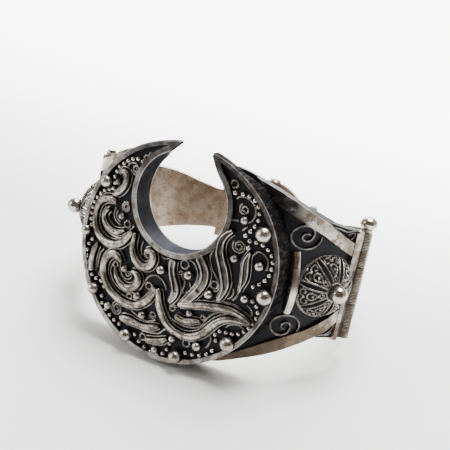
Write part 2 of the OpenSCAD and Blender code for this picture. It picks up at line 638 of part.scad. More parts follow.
// Pin of the right hinge, which is drawn out by its ball to open the bangle
module clasp_pin() {
    ball_z = knuckle_zs[3] + 0.4 * clasp_ball_d + 0.35;
    color(silver) rest() {
        translate([hinge_x, 0, knuckle_zs[0] + 0.2]) cylinder(r = pin_r, h = ball_z - knuckle_zs[0]);
        translate([hinge_x, 0, knuckle_zs[3] + 0.1]) cylinder(r = knuckle_r, h = 0.5);
        translate([hinge_x, 0, ball_z]) rotate_extrude() intersection() {
            scale([1, 0.8]) circle(clasp_ball_d / 2, $fn = 48);
            translate([0, -5]) square([5, 10]);
        }
    }
}

// Middle knuckle of the back half, with the end bar that carries it, at the right hinge
module back_hinge() {
    difference() {
        union() {
            end_bar(back_az, -1, -back_end_z, back_end_z, 0.75, 0.35);
            knuckle(knuckle_zs[1], knuckle_zs[2]);
        }
        hinge_bore();
        knuckle_room(-tall / 2, knuckle_zs[1]);
        knuckle_room(knuckle_zs[2], tall / 2);
    }
}

module back_band() {
    slot = pin_d + 0.3;                       // the clasp's knuckle is open to the front by this
    outline = concat(BACK_EDGE, [for (i = [len(BACK_EDGE) - 1:-1:0]) [BACK_EDGE[i][0], -BACK_EDGE[i][1]]]);
    color(patina) rest() {
        intersection() {
            both_sides() back_wall(0, sheet_t);
            stand_up() both_halves() polygon(outline);
        }
        difference() {
            back_hinge();
            translate([hinge_x - slot / 2, -3, knuckle_zs[1] - 1]) cube([slot, 3, knuckle_zs[2] - knuckle_zs[1] + 2]);
        }
        mirror([1, 0, 0]) back_hinge();
    }
}

// Medallion on the back sheet, a low boss on a round plate with a knob above and below
module back_medallion() {
    boss_d = 12;
    boss_h = 1.8;
    boss_r = (boss_d * boss_d / 4 + boss_h * boss_h) / (2 * boss_h);
    color(silver) rest() difference() {
        union() {
            intersection() {
                arc_wall(back_c, back_r + sheet_t + seam, sheet_t, 165, 195);
                stand_up() translate([medallion_x, 0]) circle(medallion_d / 2);
            }
            intersection() {
                translate([medallion_x, back_y + sheet_t + boss_h - boss_r, 0]) sphere(boss_r);
                translate([medallion_x, back_y + 0.5, 0]) rotate([-90, 0, 0]) cylinder(r = boss_d / 2, h = 5);
            }
            translate([medallion_x, knob_y, knob_z]) sphere(knob_r, $fn = 48);
            translate([medallion_x, knob_y, -knob_z]) sphere(knob_r, $fn = 48);
        }
        intersection() {
            translate([back_c[0], back_c[1], -7]) cylinder(r = back_r + seam, h = 14, $fn = 360);
        }
    }
}

// Half-round bar across the back sheet, beside the medallion
module back_bar(x) {
    az = 180 - asin(x / back_r);
    p = back_c + back_r * out(az);
    difference() {
        translate([p[0], p[1], 0]) rotate([90, 0, az]) arched_bar(back_bar_l, bar_r, bar_rise);
        translate([back_c[0], back_c[1], -tall / 2]) cylinder(r = back_r + seam, h = tall, $fn = 360);
    }
}

module back_bar_right() {
    color(silver) rest() back_bar(medallion_x + 11.6);
}

module back_bar_left() {
    color(silver) rest() back_bar(medallion_x - 11.6);
}

front_band();
crescent_plaque();
dome_right();
dome_left();
bar_right();
bar_left();
spiral_right_upper();
spiral_right_lower();
spiral_left_upper();
spiral_left_lower();
hinge_pin();
clasp_pin();
back_band();
back_medallion();
back_bar_right();
back_bar_left();
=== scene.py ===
# %% [markdown]
# # Hinged bangle of oxidised silver
# The bangle is a ring in two halves. The front half carries a cast crescent and two pierced domes,
# the back half is a plain band with a medallion, and a loose pin closes the right hinge.
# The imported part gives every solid. This file adds what is too fine for it: beads, twisted wires,
# ribbed knuckles and the silver itself, bright on the tops and black in the hollows.

# %% Load the frame
import json
import math

import bpy
import numpy as np
from mathutils import Matrix, Vector


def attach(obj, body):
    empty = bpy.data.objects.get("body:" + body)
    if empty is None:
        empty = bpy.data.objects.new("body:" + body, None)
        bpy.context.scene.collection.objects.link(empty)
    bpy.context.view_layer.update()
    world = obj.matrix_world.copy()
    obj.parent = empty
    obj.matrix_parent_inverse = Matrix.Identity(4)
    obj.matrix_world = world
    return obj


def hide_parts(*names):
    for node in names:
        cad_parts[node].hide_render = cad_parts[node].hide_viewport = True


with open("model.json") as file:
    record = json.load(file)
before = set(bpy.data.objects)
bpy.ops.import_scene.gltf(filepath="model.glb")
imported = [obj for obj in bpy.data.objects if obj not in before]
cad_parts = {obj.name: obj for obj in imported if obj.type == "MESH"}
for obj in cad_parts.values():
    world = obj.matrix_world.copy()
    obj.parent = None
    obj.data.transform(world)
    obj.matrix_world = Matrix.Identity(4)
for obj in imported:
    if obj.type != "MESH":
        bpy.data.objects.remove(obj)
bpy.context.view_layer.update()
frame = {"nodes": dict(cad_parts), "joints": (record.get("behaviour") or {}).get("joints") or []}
print("pieces in the frame:", len(frame["nodes"]))

# %% [markdown]
# ## The ring's own frame
# The bangle lies tilted on its side, so drawing on it is easier in the ring's own frame:
# X to the right, Y to the back and Z along the wrist, in millimetres. The clasp pin's joint tells how
# the ring was laid down: its axis is the ring's Z, and it stands on the ring's own X axis.

# %% From the ring's frame to the row frame
clasp = next(j for j in frame["joints"] if j["name"] == "clasp_slide")
_, TILT_SIN, TILT_COS = clasp["axis"]
MIDDLE = np.array([0.0, clasp["pos_m"][1], clasp["pos_m"][2]]) * 1000
TILT = math.atan2(TILT_SIN, TILT_COS)
LAY = np.array([[1, 0, 0], [0, TILT_COS, TILT_SIN], [0, -TILT_SIN, TILT_COS]])


def laid_down(points):
    """Ring millimetres to row metres: turned back by the tilt about X, then moved to the middle."""
    return (np.asarray(points, float) @ LAY.T + MIDDLE) / 1000


print("tilt in degrees:", round(math.degrees(TILT), 3))

# %% [markdown]
# ## The camera
# The photograph looks from the right and a little from above, from about 22 cm away. The camera's
# place and its two directions were fitted to the photograph, in the ring's frame.

# %% Camera
CAMERA_PLACE = (87.89, -196.91, 59.7)
CAMERA_RIGHT = (0.8733, 0.4459, 0.1965)
CAMERA_DOWN = (0.2862, -0.1430, -0.9474)
camera_data = bpy.data.cameras.new("studio_camera")
camera_data.sensor_width = 36
camera_data.lens = 80
camera_data.clip_start = 0.01
camera_data.clip_end = 20
camera = bpy.data.objects.new("studio_camera", camera_data)
bpy.context.scene.collection.objects.link(camera)
right = LAY @ np.array(CAMERA_RIGHT)
up = -(LAY @ np.array(CAMERA_DOWN))
right /= np.linalg.norm(right)
up -= right * (up @ right)
up /= np.linalg.norm(up)
to_camera = np.cross(right, up)
camera_place = laid_down([CAMERA_PLACE])[0]
turn = Matrix(np.array([right, up, to_camera]).T.tolist())
camera.matrix_world = Matrix.Translation(Vector(camera_place)) @ turn.to_4x4()
bpy.context.scene.camera = camera
print("camera at", camera_place.round(4))

# %% [markdown]
# ### Surfaces from arrays
# Every new piece below is a grid of points that numpy works out at once. A mesh needs those points
# and the quads between neighbouring rows, so these two helpers serve all the pieces.

# %% Helpers that put a surface into a mesh


def add_object(name, points, faces, material):
    """A smooth mesh object with its place in its vertices, in row metres."""
    mesh = bpy.data.meshes.new(name)
    mesh.from_pydata(np.asarray(points).tolist(), [], [tuple(f) for f in faces])
    mesh.polygons.foreach_set("use_smooth", np.ones(len(mesh.polygons), bool))
    mesh.materials.append(material)
    mesh.update()
    thing = bpy.data.objects.new(name, mesh)
    bpy.context.scene.collection.objects.link(thing)
    return thing


def grid_faces(rows, columns, closed=False):
    """Quads between neighbouring rows of a grid. A closed grid also joins its last column to its first."""
    i, j = np.meshgrid(np.arange(rows - 1), np.arange(columns if closed else columns - 1), indexing="ij")
    k = (j + 1) % columns
    corners = [i * columns + j, (i + 1) * columns + j, (i + 1) * columns + k, i * columns + k]
    return np.stack(corners, -1).reshape(-1, 4)


print("quads in a closed grid of 3 rows and 4 columns:", len(grid_faces(3, 4, closed=True)))

# %% [markdown]
# ## How the materials are built
# Oxidised silver is polished metal whose hollows were blackened with sulphur. So every finish here
# mixes the same two looks, black and polished, by a mask. On cast pieces the mask is the height
# above the dark ground, which a formula on the object coordinates gives. On wires and beads it is an
# attribute that their shape writes. Noise breaks up both looks, as rubbing and handling do.

# %% Helpers for materials


class Nodes:
    """The nodes of a material or of the world, with short calls for those that repeat."""

    def __init__(self, name, kept_in=bpy.data.materials, shader="Principled BSDF"):
        self.owner = kept_in.new(name)
        self.owner.use_nodes = True
        self.tree = self.owner.node_tree
        self.shader = self.tree.nodes[shader]

    def new(self, kind, **inputs):
        """A new node of the kind, with something on each of the named inputs."""
        node = self.tree.nodes.new("ShaderNode" + kind)
        for name, value in inputs.items():
            self.link(value, node.inputs[name])
        return node

    def set(self, name, value):
        """Puts a value on one of the shader's own sockets."""
        self.link(value, self.shader.inputs[name])

    def link(self, value, socket):
        """Sets a number or a colour on the socket, and joins anything else to it."""
        if isinstance(value, (int, float)):
            socket.default_value = value
        elif isinstance(value, tuple):
            socket.default_value = (*value, 1) if len(socket.default_value) == 4 else value
        else:
            self.tree.links.new(value, socket)

    def maths(self, operation, a, b=0.0):
        """The result of one operation on a and b."""
        node = self.new("Math")
        node.operation = operation
        for socket, value in zip(node.inputs, (a, b)):
            self.link(value, socket)
        return node.outputs[0]

    def plus(self, a, b):
        """a + b"""
        return self.maths("ADD", a, b)

    def minus(self, a, b):
        """a - b"""
        return self.maths("SUBTRACT", a, b)

    def times(self, a, b):
        """a x b"""
        return self.maths("MULTIPLY", a, b)

    def larger(self, a, b):
        """The larger of a and b."""
        return self.maths("MAXIMUM", a, b)

    def ramp(self, value, low, high, out_low=0.0, out_high=1.0):
        """Smooth step: out_low below low, out_high above high."""
        node = self.new("MapRange", Value=value)
        node.interpolation_type = "SMOOTHSTEP"
        names = ("From Min", "From Max", "To Min", "To Max")
        for key, number in zip(names, (low, high, out_low, out_high)):
            node.inputs[key].default_value = number
        return node.outputs[0]

    def mix(self, share, a, b):
        """Colour a where share is 0 and colour b where it is 1."""
        node = self.new("Mix")
        node.data_type = "RGBA"
        self.link(share, node.inputs[0])
        self.link(a, node.inputs[6])
        self.link(b, node.inputs[7])
        return node.outputs[2]

    def coordinates(self, kind):
        """The texture coordinates of the kind."""
        return self.new("TexCoord").outputs[kind]

    def split(self, vector):
        """The vector's X, Y and Z."""
        return tuple(self.new("SeparateXYZ", Vector=vector).outputs)

    def ring_place(self):
        """Object coordinates as millimetres in the ring's own frame, split into X, Y and Z."""
        mapping = self.new("Mapping", Vector=self.coordinates("Object"), Scale=(1000, 1000, 1000),
                           Rotation=(TILT, 0, 0), Location=tuple(-(LAY.T @ MIDDLE)))
        self.place = mapping.outputs[0]
        return self.split(self.place)

    def noise(self, size, detail=3.0, roughness=0.55, stretch=None):
        """Noise whose patches are about size millimetres across."""
        place = self.place
        if stretch:
            place = self.new("Mapping", Vector=place, Scale=stretch).outputs[0]
        return self.new("TexNoise", Vector=place, Scale=1 / size, Detail=detail,
                        Roughness=roughness).outputs[0]

    def distance(self, a, b, a0=0.0, b0=0.0):
        """Distance of a point with the two coordinates a and b from (a0, b0)."""
        da = self.minus(a, a0)
        db = self.minus(b, b0)
        return self.maths("SQRT", self.plus(self.times(da, da), self.times(db, db)))

    def worn(self):
        """The share of rubbing that a bead or a wire writes at each of its points."""
        node = self.new("Attribute")
        node.attribute_name = "worn"
        return node.outputs["Fac"]

    def dot(self, a, b):
        """The dot product of a and b, which is larger the more they point the same way."""
        node = self.new("VectorMath")
        node.operation = "DOT_PRODUCT"
        self.link(a, node.inputs[0])
        self.link(b, node.inputs[1])
        return node.outputs["Value"]

    def facing_out(self, x, y):
        """1 where the surface looks away from the wrist and 0 where it looks at it, by its normals."""
        radial = self.new("CombineXYZ", X=x, Y=y).outputs[0]
        return self.ramp(self.dot(self.coordinates("Normal"), radial), -8.0, 2.0)

    def relief(self, height, strength):
        """Bump that reads as height on the surface, in millimetres."""
        bump = self.new("Bump", Height=height, Strength=strength, Distance=0.001)
        self.set("Normal", bump.outputs[0])


POLISHED = (0.64, 0.605, 0.555)
WARM = (0.36, 0.315, 0.265)
BLACKENED = (0.018, 0.018, 0.020)
PATCH = 2.2
SPECK = 0.22


def silver_finish(n, mask, bright=POLISHED, worn=WARM, dark=BLACKENED, gloss=0.3, matt=0.5, grain=0.10):
    """Joins a mask of 0 for blackened and 1 for polished to the shader, broken up by noise.

    Colour = dark + mask (tone - dark), where the tone is worn or bright in large patches.
    Roughness = matt + mask (gloss - matt), plus or minus the fine specks.
    """
    patches = n.noise(PATCH, 5.0, 0.6)
    specks = n.noise(SPECK, 2.0, 0.7)
    rubbed = n.ramp(patches, 0.40, 0.62)
    pits = n.ramp(specks, 0.33, 0.42)
    mask = n.times(mask, n.plus(0.25, n.times(pits, 0.75)))
    n.set("Base Color", n.mix(mask, dark, n.mix(rubbed, worn, bright)))
    rough = n.plus(n.times(mask, gloss - matt), matt)
    n.set("Roughness", n.plus(rough, n.times(n.minus(specks, 0.5), 0.25)))
    n.set("Metallic", 1.0)
    n.relief(n.plus(n.times(specks, 0.6), n.times(patches, 0.4)), grain)
    return n.owner


print("patches and specks, in millimetres:", PATCH, SPECK)

# %% [markdown]
# ### Balls, wires, spirals and bars
# Balls and pins are plain polished silver, so their mask is full and only the noise is left to show.
# Wires and hinge sleeves take the mask from the rubbing that their shape writes. The flat spirals
# lie deep and are hardly rubbed, and the bars are bright only at their ends.

# %% Finishes for the small parts
n = Nodes("bright_silver")
n.ring_place()
bright_silver = silver_finish(n, 1.0, gloss=0.15, grain=0.05)

n = Nodes("wire_silver")
n.ring_place()
wire_silver = silver_finish(n, n.ramp(n.worn(), 0.40, 0.95), gloss=0.16, grain=0.05)

# The hinge sleeves have gone brown between their ribs, and only the crests are rubbed
n = Nodes("rib_silver")
n.ring_place()
rib_silver = silver_finish(n, n.ramp(n.worn(), 0.35, 1.0), bright=(0.44, 0.40, 0.345),
                           worn=(0.20, 0.16, 0.12), dark=(0.05, 0.035, 0.025), gloss=0.2, grain=0.05)

n = Nodes("spiral_silver")
n.ring_place()
spiral_silver = silver_finish(n, n.ramp(n.noise(1.2, 3.0), 0.35, 0.65, 0.16, 0.42), gloss=0.3, grain=0.05)

# The bars have gone brown in the middle, where dirt stays
BAR_MIDDLE_Z = 1.4
n = Nodes("bar_silver")
x, y, z = n.ring_place()
from_middle = n.maths("ABSOLUTE", n.minus(z, BAR_MIDDLE_Z))
bar_silver = silver_finish(n, n.ramp(from_middle, 0.6, 3.4, 0.16, 1.0), dark=(0.05, 0.03, 0.02),
                           gloss=0.2, grain=0.06)
print("small parts:", [m.name for m in (bright_silver, wire_silver, rib_silver, spiral_silver, bar_silver)])

# %% [markdown]
# ### The crescent's cast relief
# Its ground lies 1 mm below the rims and is nearly black, and the scrolls' tops are rubbed bright.
# The face is bent round an upright axis 114.8 mm behind the ring's middle, so the height above the
# rims is the distance from that axis less 138 mm. The box's outer wall is blackened with faint
# streaks. Inside the hollow the black carries a painted bluish reflection, and painted shade makes it
# darker towards the top.

# %% Crescent relief
FACE_R = 138.0
FACE_AXIS_Y = 114.8
GROUND = -1.0
CRESCENT = (0.0, 0.7, 23.1)
HOLLOW = (-0.35, 11.5, 10.35)
# Painted bluish reflection on the black inside the hollow, lighter low and darker high as painted shade
PAINTED_BLUE_REFLECTION_LOW = (0.038, 0.041, 0.048)
PAINTED_BLUE_REFLECTION_HIGH = (0.022, 0.024, 0.029)
n = Nodes("cast_silver")
x, y, z = n.ring_place()
height = n.minus(n.distance(x, y, 0.0, FACE_AXIS_Y), FACE_R)
raised = n.ramp(height, -0.7, -0.1)
from_middle = n.distance(x, z, CRESCENT[0], CRESCENT[1])
from_hollow = n.distance(x, z, HOLLOW[0], HOLLOW[1])
# Painted highlight: a bright band just inside the outer rim stands in for the light its rounded edge would
# catch
painted_outer_rim_highlight = n.ramp(from_middle, CRESCENT[2] - 0.30, CRESCENT[2] - 0.12)
outer_wall = n.ramp(from_middle, CRESCENT[2] - 0.06, CRESCENT[2] - 0.02)
inner_wall = n.ramp(from_hollow, HOLLOW[2] + 0.06, HOLLOW[2] + 0.02)
# Painted highlight: a bright band round the hollow's rim stands in for the light its rounded edge would
# catch
painted_hollow_rim_highlight = n.ramp(from_hollow, HOLLOW[2] + 0.34, HOLLOW[2] + 0.20)
# Painted shade: the relief is lighter at the lower left and nearly black at the upper right horn
shade = n.ramp(n.plus(n.times(x, 0.75), z), -4.0, 13.0, 0.92, 0.30)
shade = n.times(shade, n.ramp(n.noise(1.7, 4.0), 0.36, 0.60, 0.45, 1.0))
mask = n.times(raised, n.times(shade, 0.62))
# Painted highlight along the outer rim, weaker towards the bottom
mask = n.larger(mask, n.times(painted_outer_rim_highlight, n.ramp(z, -19.0, -12.0, 0.35, 0.85)))
mask = n.larger(mask, n.ramp(height, 0.12, 0.34, 0.0, 0.95))
# Painted highlight round the hollow's rim
mask = n.larger(mask, n.times(painted_hollow_rim_highlight, 0.8))
streaks = n.ramp(n.noise(1.0, 4.0, 0.6, (1.0, 0.3, 1.0)), 0.45, 0.75, 0.02, 0.24)
mask = n.mix(outer_wall, mask, n.times(mask, streaks))
mask = n.times(mask, n.ramp(inner_wall, 0.0, 1.0, 1.0, 0.05))
# The hollow's inner wall gets the painted bluish reflection, darker towards the top as painted shade
blackened = n.mix(inner_wall, BLACKENED, n.mix(n.ramp(z, 1.5, 8.0), PAINTED_BLUE_REFLECTION_LOW, PAINTED_BLUE_REFLECTION_HIGH))
cast_silver = silver_finish(n, mask, dark=blackened, gloss=0.24, matt=0.46, grain=0.12)
# The black layer is matt at a glancing angle too, where bare metal would mirror the bright room
n.set("Specular Tint", (0.33, 0.33, 0.34))
print("crescent:", cast_silver.name)

# %% [markdown]
# ### The scrolls' tops
# The big scrolls stand highest, so cloth and skin rub them first. A painted shade makes them lighter
# at the lower left and darker towards the upper right horn.

# %% Ribbon tops
n = Nodes("ribbon_silver")
x, y, z = n.ring_place()
# Painted shade: lighter at the lower left, darker towards the upper right horn
shade = n.ramp(n.plus(n.times(x, 0.75), z), -4.0, 14.0, 1.0, 0.42)
shade = n.times(shade, n.ramp(n.noise(1.1, 4.0, 0.6), 0.34, 0.56, 0.40, 1.0))
ribbon_silver = silver_finish(n, n.times(n.ramp(n.worn(), 0.1, 0.6), shade),
                              bright=(0.50, 0.455, 0.395), worn=(0.21, 0.18, 0.145),
                              gloss=0.15, matt=0.4, grain=0.14)
print("scroll tops:", ribbon_silver.name)

# %% [markdown]
# ### The front band
# The front band's ground is black and its raised strips are rubbed. The height above the ground is
# the distance from an upright axis less a radius, and there are three such axes: one for the wall
# behind the crescent, one for the rounded corner and one for the bent side panel.
# Towards the wrist it is bare silver with a brown patina, and its normals tell which side that is.

# %% Front band
PANEL_AXIS = (-25.591, 26.445)
PANEL_R = 64.0
PANEL_AZ = 64.0
PANEL_END = (31.93, -1.61)
WALL_R = 132.7
CORNER_AXIS = (17.569, -7.646)
CORNER_R = 9.0
CORNER_SPAN = (18.85, 24.63)
n = Nodes("front_silver")
x, y, z = n.ring_place()
side = n.maths("ABSOLUTE", x)
over_face = n.minus(n.distance(side, y, 0.0, FACE_AXIS_Y), WALL_R)
over_corner = n.minus(n.distance(side, y, *CORNER_AXIS), CORNER_R)
over_panel = n.minus(n.distance(side, y, *PANEL_AXIS), PANEL_R)
past_face = n.maths("GREATER_THAN", side, CORNER_SPAN[0])
past_corner = n.maths("GREATER_THAN", side, CORNER_SPAN[1])
height = n.plus(over_face, n.times(past_face, n.minus(over_corner, over_face)))
height = n.plus(height, n.times(past_corner, n.minus(over_panel, height)))
past_end_x = n.times(n.minus(side, PANEL_END[0]), math.cos(math.radians(PANEL_AZ)))
past_end_y = n.times(n.minus(y, PANEL_END[1]), math.sin(math.radians(PANEL_AZ)))
from_end = n.plus(past_end_x, past_end_y)
raised = n.ramp(height, 0.45, 0.76)
# The right upper strip is dark towards the crescent and bright towards the hinge
reach = n.larger(n.ramp(x, 20.5, 26.0), n.ramp(x, -4.0, -8.0))
reach = n.larger(reach, n.ramp(n.noise(1.5, 4.0, 0.6, (0.4, 1.0, 2.0)), 0.45, 0.7, 0.06, 0.4))
reach = n.larger(reach, n.ramp(z, 3.0, 1.0, 0.0, 0.62))
strips = n.times(raised, reach)
ends = n.ramp(from_end, -2.7, -2.6, 0.0, 0.5)
mask = n.larger(strips, n.times(raised, ends))
# The bar at the end is rubbed bright only near its top
at_end = n.ramp(from_end, -1.25, -1.15)
rubbed = n.ramp(z, 1.0, 8.0, 0.22, 0.9)
mask = n.plus(mask, n.times(at_end, n.minus(rubbed, mask)))
# The lower strips have gone brown
low = n.ramp(z, -6.0, -10.0)
bright = n.mix(low, (0.50, 0.47, 0.43), (0.13, 0.10, 0.07))
worn = n.mix(low, (0.17, 0.135, 0.10), (0.085, 0.062, 0.042))
outside = n.facing_out(x, y)
inner_tone = n.mix(n.ramp(n.noise(3.0, 5.0, 0.6), 0.30, 0.70), (0.28, 0.225, 0.175), (0.42, 0.365, 0.31))
mask = n.larger(mask, n.ramp(outside, 0.2, 0.6, 0.9, 0.0))
front_silver = silver_finish(n, mask, bright=n.mix(outside, inner_tone, bright),
                             worn=n.mix(outside, inner_tone, worn), gloss=0.24, matt=0.42, grain=0.12)
print("front band:", front_silver.name)

# %% [markdown]
# ### The back band
# The back is bare and only stained, browner inside than outside, so the mask is noise alone.

# %% Back band
n = Nodes("back_silver")
x, y, z = n.ring_place()
outside = n.facing_out(x, y)
stains = n.ramp(n.noise(1.2, 5.0, 0.6, (0.5, 0.5, 1.5)), 0.28, 0.44, 0.45, 1.0)
back_silver = silver_finish(n, stains, bright=n.mix(outside, (0.33, 0.275, 0.22), (0.46, 0.43, 0.39)),
                            worn=n.mix(outside, (0.23, 0.17, 0.12), (0.31, 0.28, 0.24)),
                            dark=(0.075, 0.045, 0.028))
print("back band:", back_silver.name)

# %% [markdown]
# ### Finishes on the part's own solids
# The solids keep their shape and only get their finish. Their names start with what they are, so
# the start of the name picks the finish, and what is left, such as a pin, is simply bright.

# %% Finishes on the solids
FINISH_OF = {"front_band": front_silver, "crescent": cast_silver, "spiral": spiral_silver,
             "bar": bar_silver, "back": back_silver}
for name, node in frame["nodes"].items():
    finish = next((f for start, f in FINISH_OF.items() if name.startswith(start)), bright_silver)
    node.data.materials.clear()
    node.data.materials.append(finish)
    print(f"{name}: {finish.name}")

# %% [markdown]
# ## Drawing with wire
# The small ornament is wire work: two fine wires are twisted together, rolled a little flat, bent
# into curls and soldered to the ground, with a bead of silver wherever an end has to be hidden.
# A twisted pair seen from the side is a row of slanting lobes. Its section is a circle that swells
# on two sides and turns along the wire.

# %% Curves on a flat drawing
STEP = 0.075
LOBE = 0.36


def lengths(points):
    """How far along the line each of its points lies."""
    return np.concatenate([[0], np.cumsum(np.linalg.norm(np.diff(points, axis=0), axis=1))])


def unit(vectors):
    """The same directions with length 1."""
    return vectors / np.linalg.norm(vectors, axis=1, keepdims=True)


def full_turn(count):
    """Angles all the way round, in radians."""
    return np.linspace(0, 2 * math.pi, count, endpoint=False)


def curve(points, step=STEP):
    """Points every step millimetres along the Catmull-Rom curve through the given points."""
    p = np.asarray(points, float)
    t = np.linspace(0, len(p) - 1, 24 * (len(p) - 1) + 1)
    i = np.minimum(t.astype(int), len(p) - 2)
    f = (t - i)[:, None]
    a, b, c, d = p[np.maximum(i - 1, 0)], p[i], p[i + 1], p[np.minimum(i + 2, len(p) - 1)]
    q = (2 * b + (c - a) * f + (2 * a - 5 * b + 4 * c - d) * f**2 + (3 * b - a - 3 * c + d) * f**3) / 2
    return spaced(q, step)


def spaced(points, step=STEP):
    """The same line with its points step millimetres apart."""
    along = lengths(points)
    places = np.linspace(0, along[-1], max(4, int(along[-1] / step)))
    return np.stack([np.interp(places, along, column) for column in points.T], 1)


def spiral(x, z, outer, inner, turns, start):
    """Radius from outer to inner while the angle runs from start, in degrees, over the turns."""
    t = np.linspace(0, 1, 90)[:, None]
    angle = np.radians(start + 360 * turns * t)
    radius = outer + (inner - outer) * t
    return spaced(np.concatenate([x + radius * np.cos(angle), z + radius * np.sin(angle)], 1))


def ring(x, z, radius, turns=1.02):
    """A closed ring of wire, whose end laps over its start."""
    return spiral(x, z, radius, radius, turns, 0)


print("one lobe of twisted wire has", round(LOBE / STEP, 1), "rows")

# %% [markdown]
# ### The maker's tray
# Beads and wires are laid out on a tray before they are soldered. This one joins many small closed
# surfaces into one object, which is far quicker to handle than a thousand objects.

# %% The maker's tray


class Tray:
    """Gathers beads and wires of one piece, then solders them into one object."""

    def __init__(self):
        self.points, self.faces, self.worn, self.count = [], [], [], 0

    def lay(self, rows, first, last, worn):
        """Rows of points round each shape, shaped (shapes, rows, columns, 3), closed by two end points."""
        shapes, n, k = rows.shape[:3]
        body = np.concatenate([rows.reshape(shapes, -1, 3), first[:, None], last[:, None]], 1)
        quads = grid_faces(n, k, closed=True)
        j = np.arange(k)
        cap_a = np.stack([np.full(k, n * k), j, (j + 1) % k], 1)
        cap_b = np.stack([np.full(k, n * k + 1), (n - 1) * k + (j + 1) % k, (n - 1) * k + j], 1)
        offset = self.count + np.arange(shapes)[:, None, None] * body.shape[1]
        for faces in (quads, cap_a, cap_b):
            self.faces.extend((faces + offset).reshape(-1, faces.shape[1]).tolist())
        self.points.append(body.reshape(-1, 3))
        ends = np.full((shapes, 2), 0.5)
        self.worn.append(np.concatenate([worn.reshape(shapes, -1), ends], 1).ravel())
        self.count += body.shape[0] * body.shape[1]

    def beads(self, centres, radii, columns=12, rows=7):
        """Balls of the given radii."""
        polar = np.linspace(0, math.pi, rows + 2)[1:-1, None]
        turn = full_turn(columns)[None, :]
        across, up = np.sin(polar), np.cos(polar)
        ball = np.stack([across * np.cos(turn), across * np.sin(turn), up + 0 * turn], -1)
        centres = np.asarray(centres, float)
        radii = np.broadcast_to(np.asarray(radii, float), len(centres))
        shape = centres[:, None, None] + ball * radii[:, None, None, None]
        pole = radii[:, None] * [0, 0, 1]
        self.lay(shape, centres + pole, centres - pole, np.ones(shape.shape[:3]))

    def wire(self, path, up, radius, twisted=True, sides=8, worn=1.0):
        """A wire along the path, where up points away from the ground at each of its points.

        Radius = R (0.5 + 0.5 |cos(angle - pi length / lobe)|) if it is twisted, and R if it is plain.
        """
        tangent = unit(np.gradient(path, axis=0))
        side = unit(np.cross(tangent, up))
        up = np.cross(side, tangent)
        angle = full_turn(sides)[None, :]
        lobes = np.abs(np.cos(angle - math.pi * lengths(path)[:, None] / LOBE))
        r = radius * (0.5 + 0.5 * lobes)
        if not twisted:
            lobes, r = np.full_like(lobes, worn), np.full_like(r, radius)
        rubbed = lobes * np.clip(0.45 + 0.75 * np.sin(angle), 0, 1)
        outward = np.cos(angle)[..., None] * side[:, None] + np.sin(angle)[..., None] * up[:, None]
        rows = path[:, None] + r[..., None] * outward
        tip = tangent * radius * 0.4
        self.lay(rows[None], path[:1] - tip[:1], path[-1:] + tip[-1:], rubbed)

    def solder(self, name, body, finish=None):
        """Makes the object, with its place in its vertices, and lets it ride on its body."""
        thing = add_object(name, laid_down(np.concatenate(self.points)), self.faces, finish or wire_silver)
        worn = thing.data.attributes.new("worn", "FLOAT", "POINT")
        worn.data.foreach_set("value", np.concatenate(self.worn).astype(np.float32))
        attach(thing, body)
        print(f"{name}: {len(self.faces)} faces")
        return thing


# %% [markdown]
# ## Small relief on the crescent
# Rows of beads follow the rim all the way round and loop between the big granules. Curls of twisted
# wire fill the ground between the cast scrolls, which are already in the part. Every place here was
# read off the photograph, as millimetres across and up the crescent's face.

# %% Points on the crescent's face


def on_drum(flat, height, axis_y, radius, side):
    """(x, z) drawn on an upright drum to points in the ring's frame, with its outward directions.

    Outwards = (x / R, side sqrt(1 - (x / R)^2), 0), and the point = axis + outwards (R + height) + z.
    """
    x, z = np.asarray(flat, float).T
    out = np.stack([x / radius, side * np.sqrt(1 - (x / radius) ** 2), 0 * x], 1)
    return np.array([0, axis_y, 0]) + out * (radius + height) + z[:, None] * [0, 0, 1], out


def on_face(flat, height):
    """(x, z) drawn on the crescent, which looks to the front."""
    return on_drum(flat, height, FACE_AXIS_Y, FACE_R, -1)


print("the face's middle lies at", on_face([(0, 0)], 0)[0][0])

# %% [markdown]
# ### Rows of beads
# Small balls form by themselves when snippets of silver are melted on charcoal. They were set side
# by side in the ground, one row along the rim and loops between the big granules.

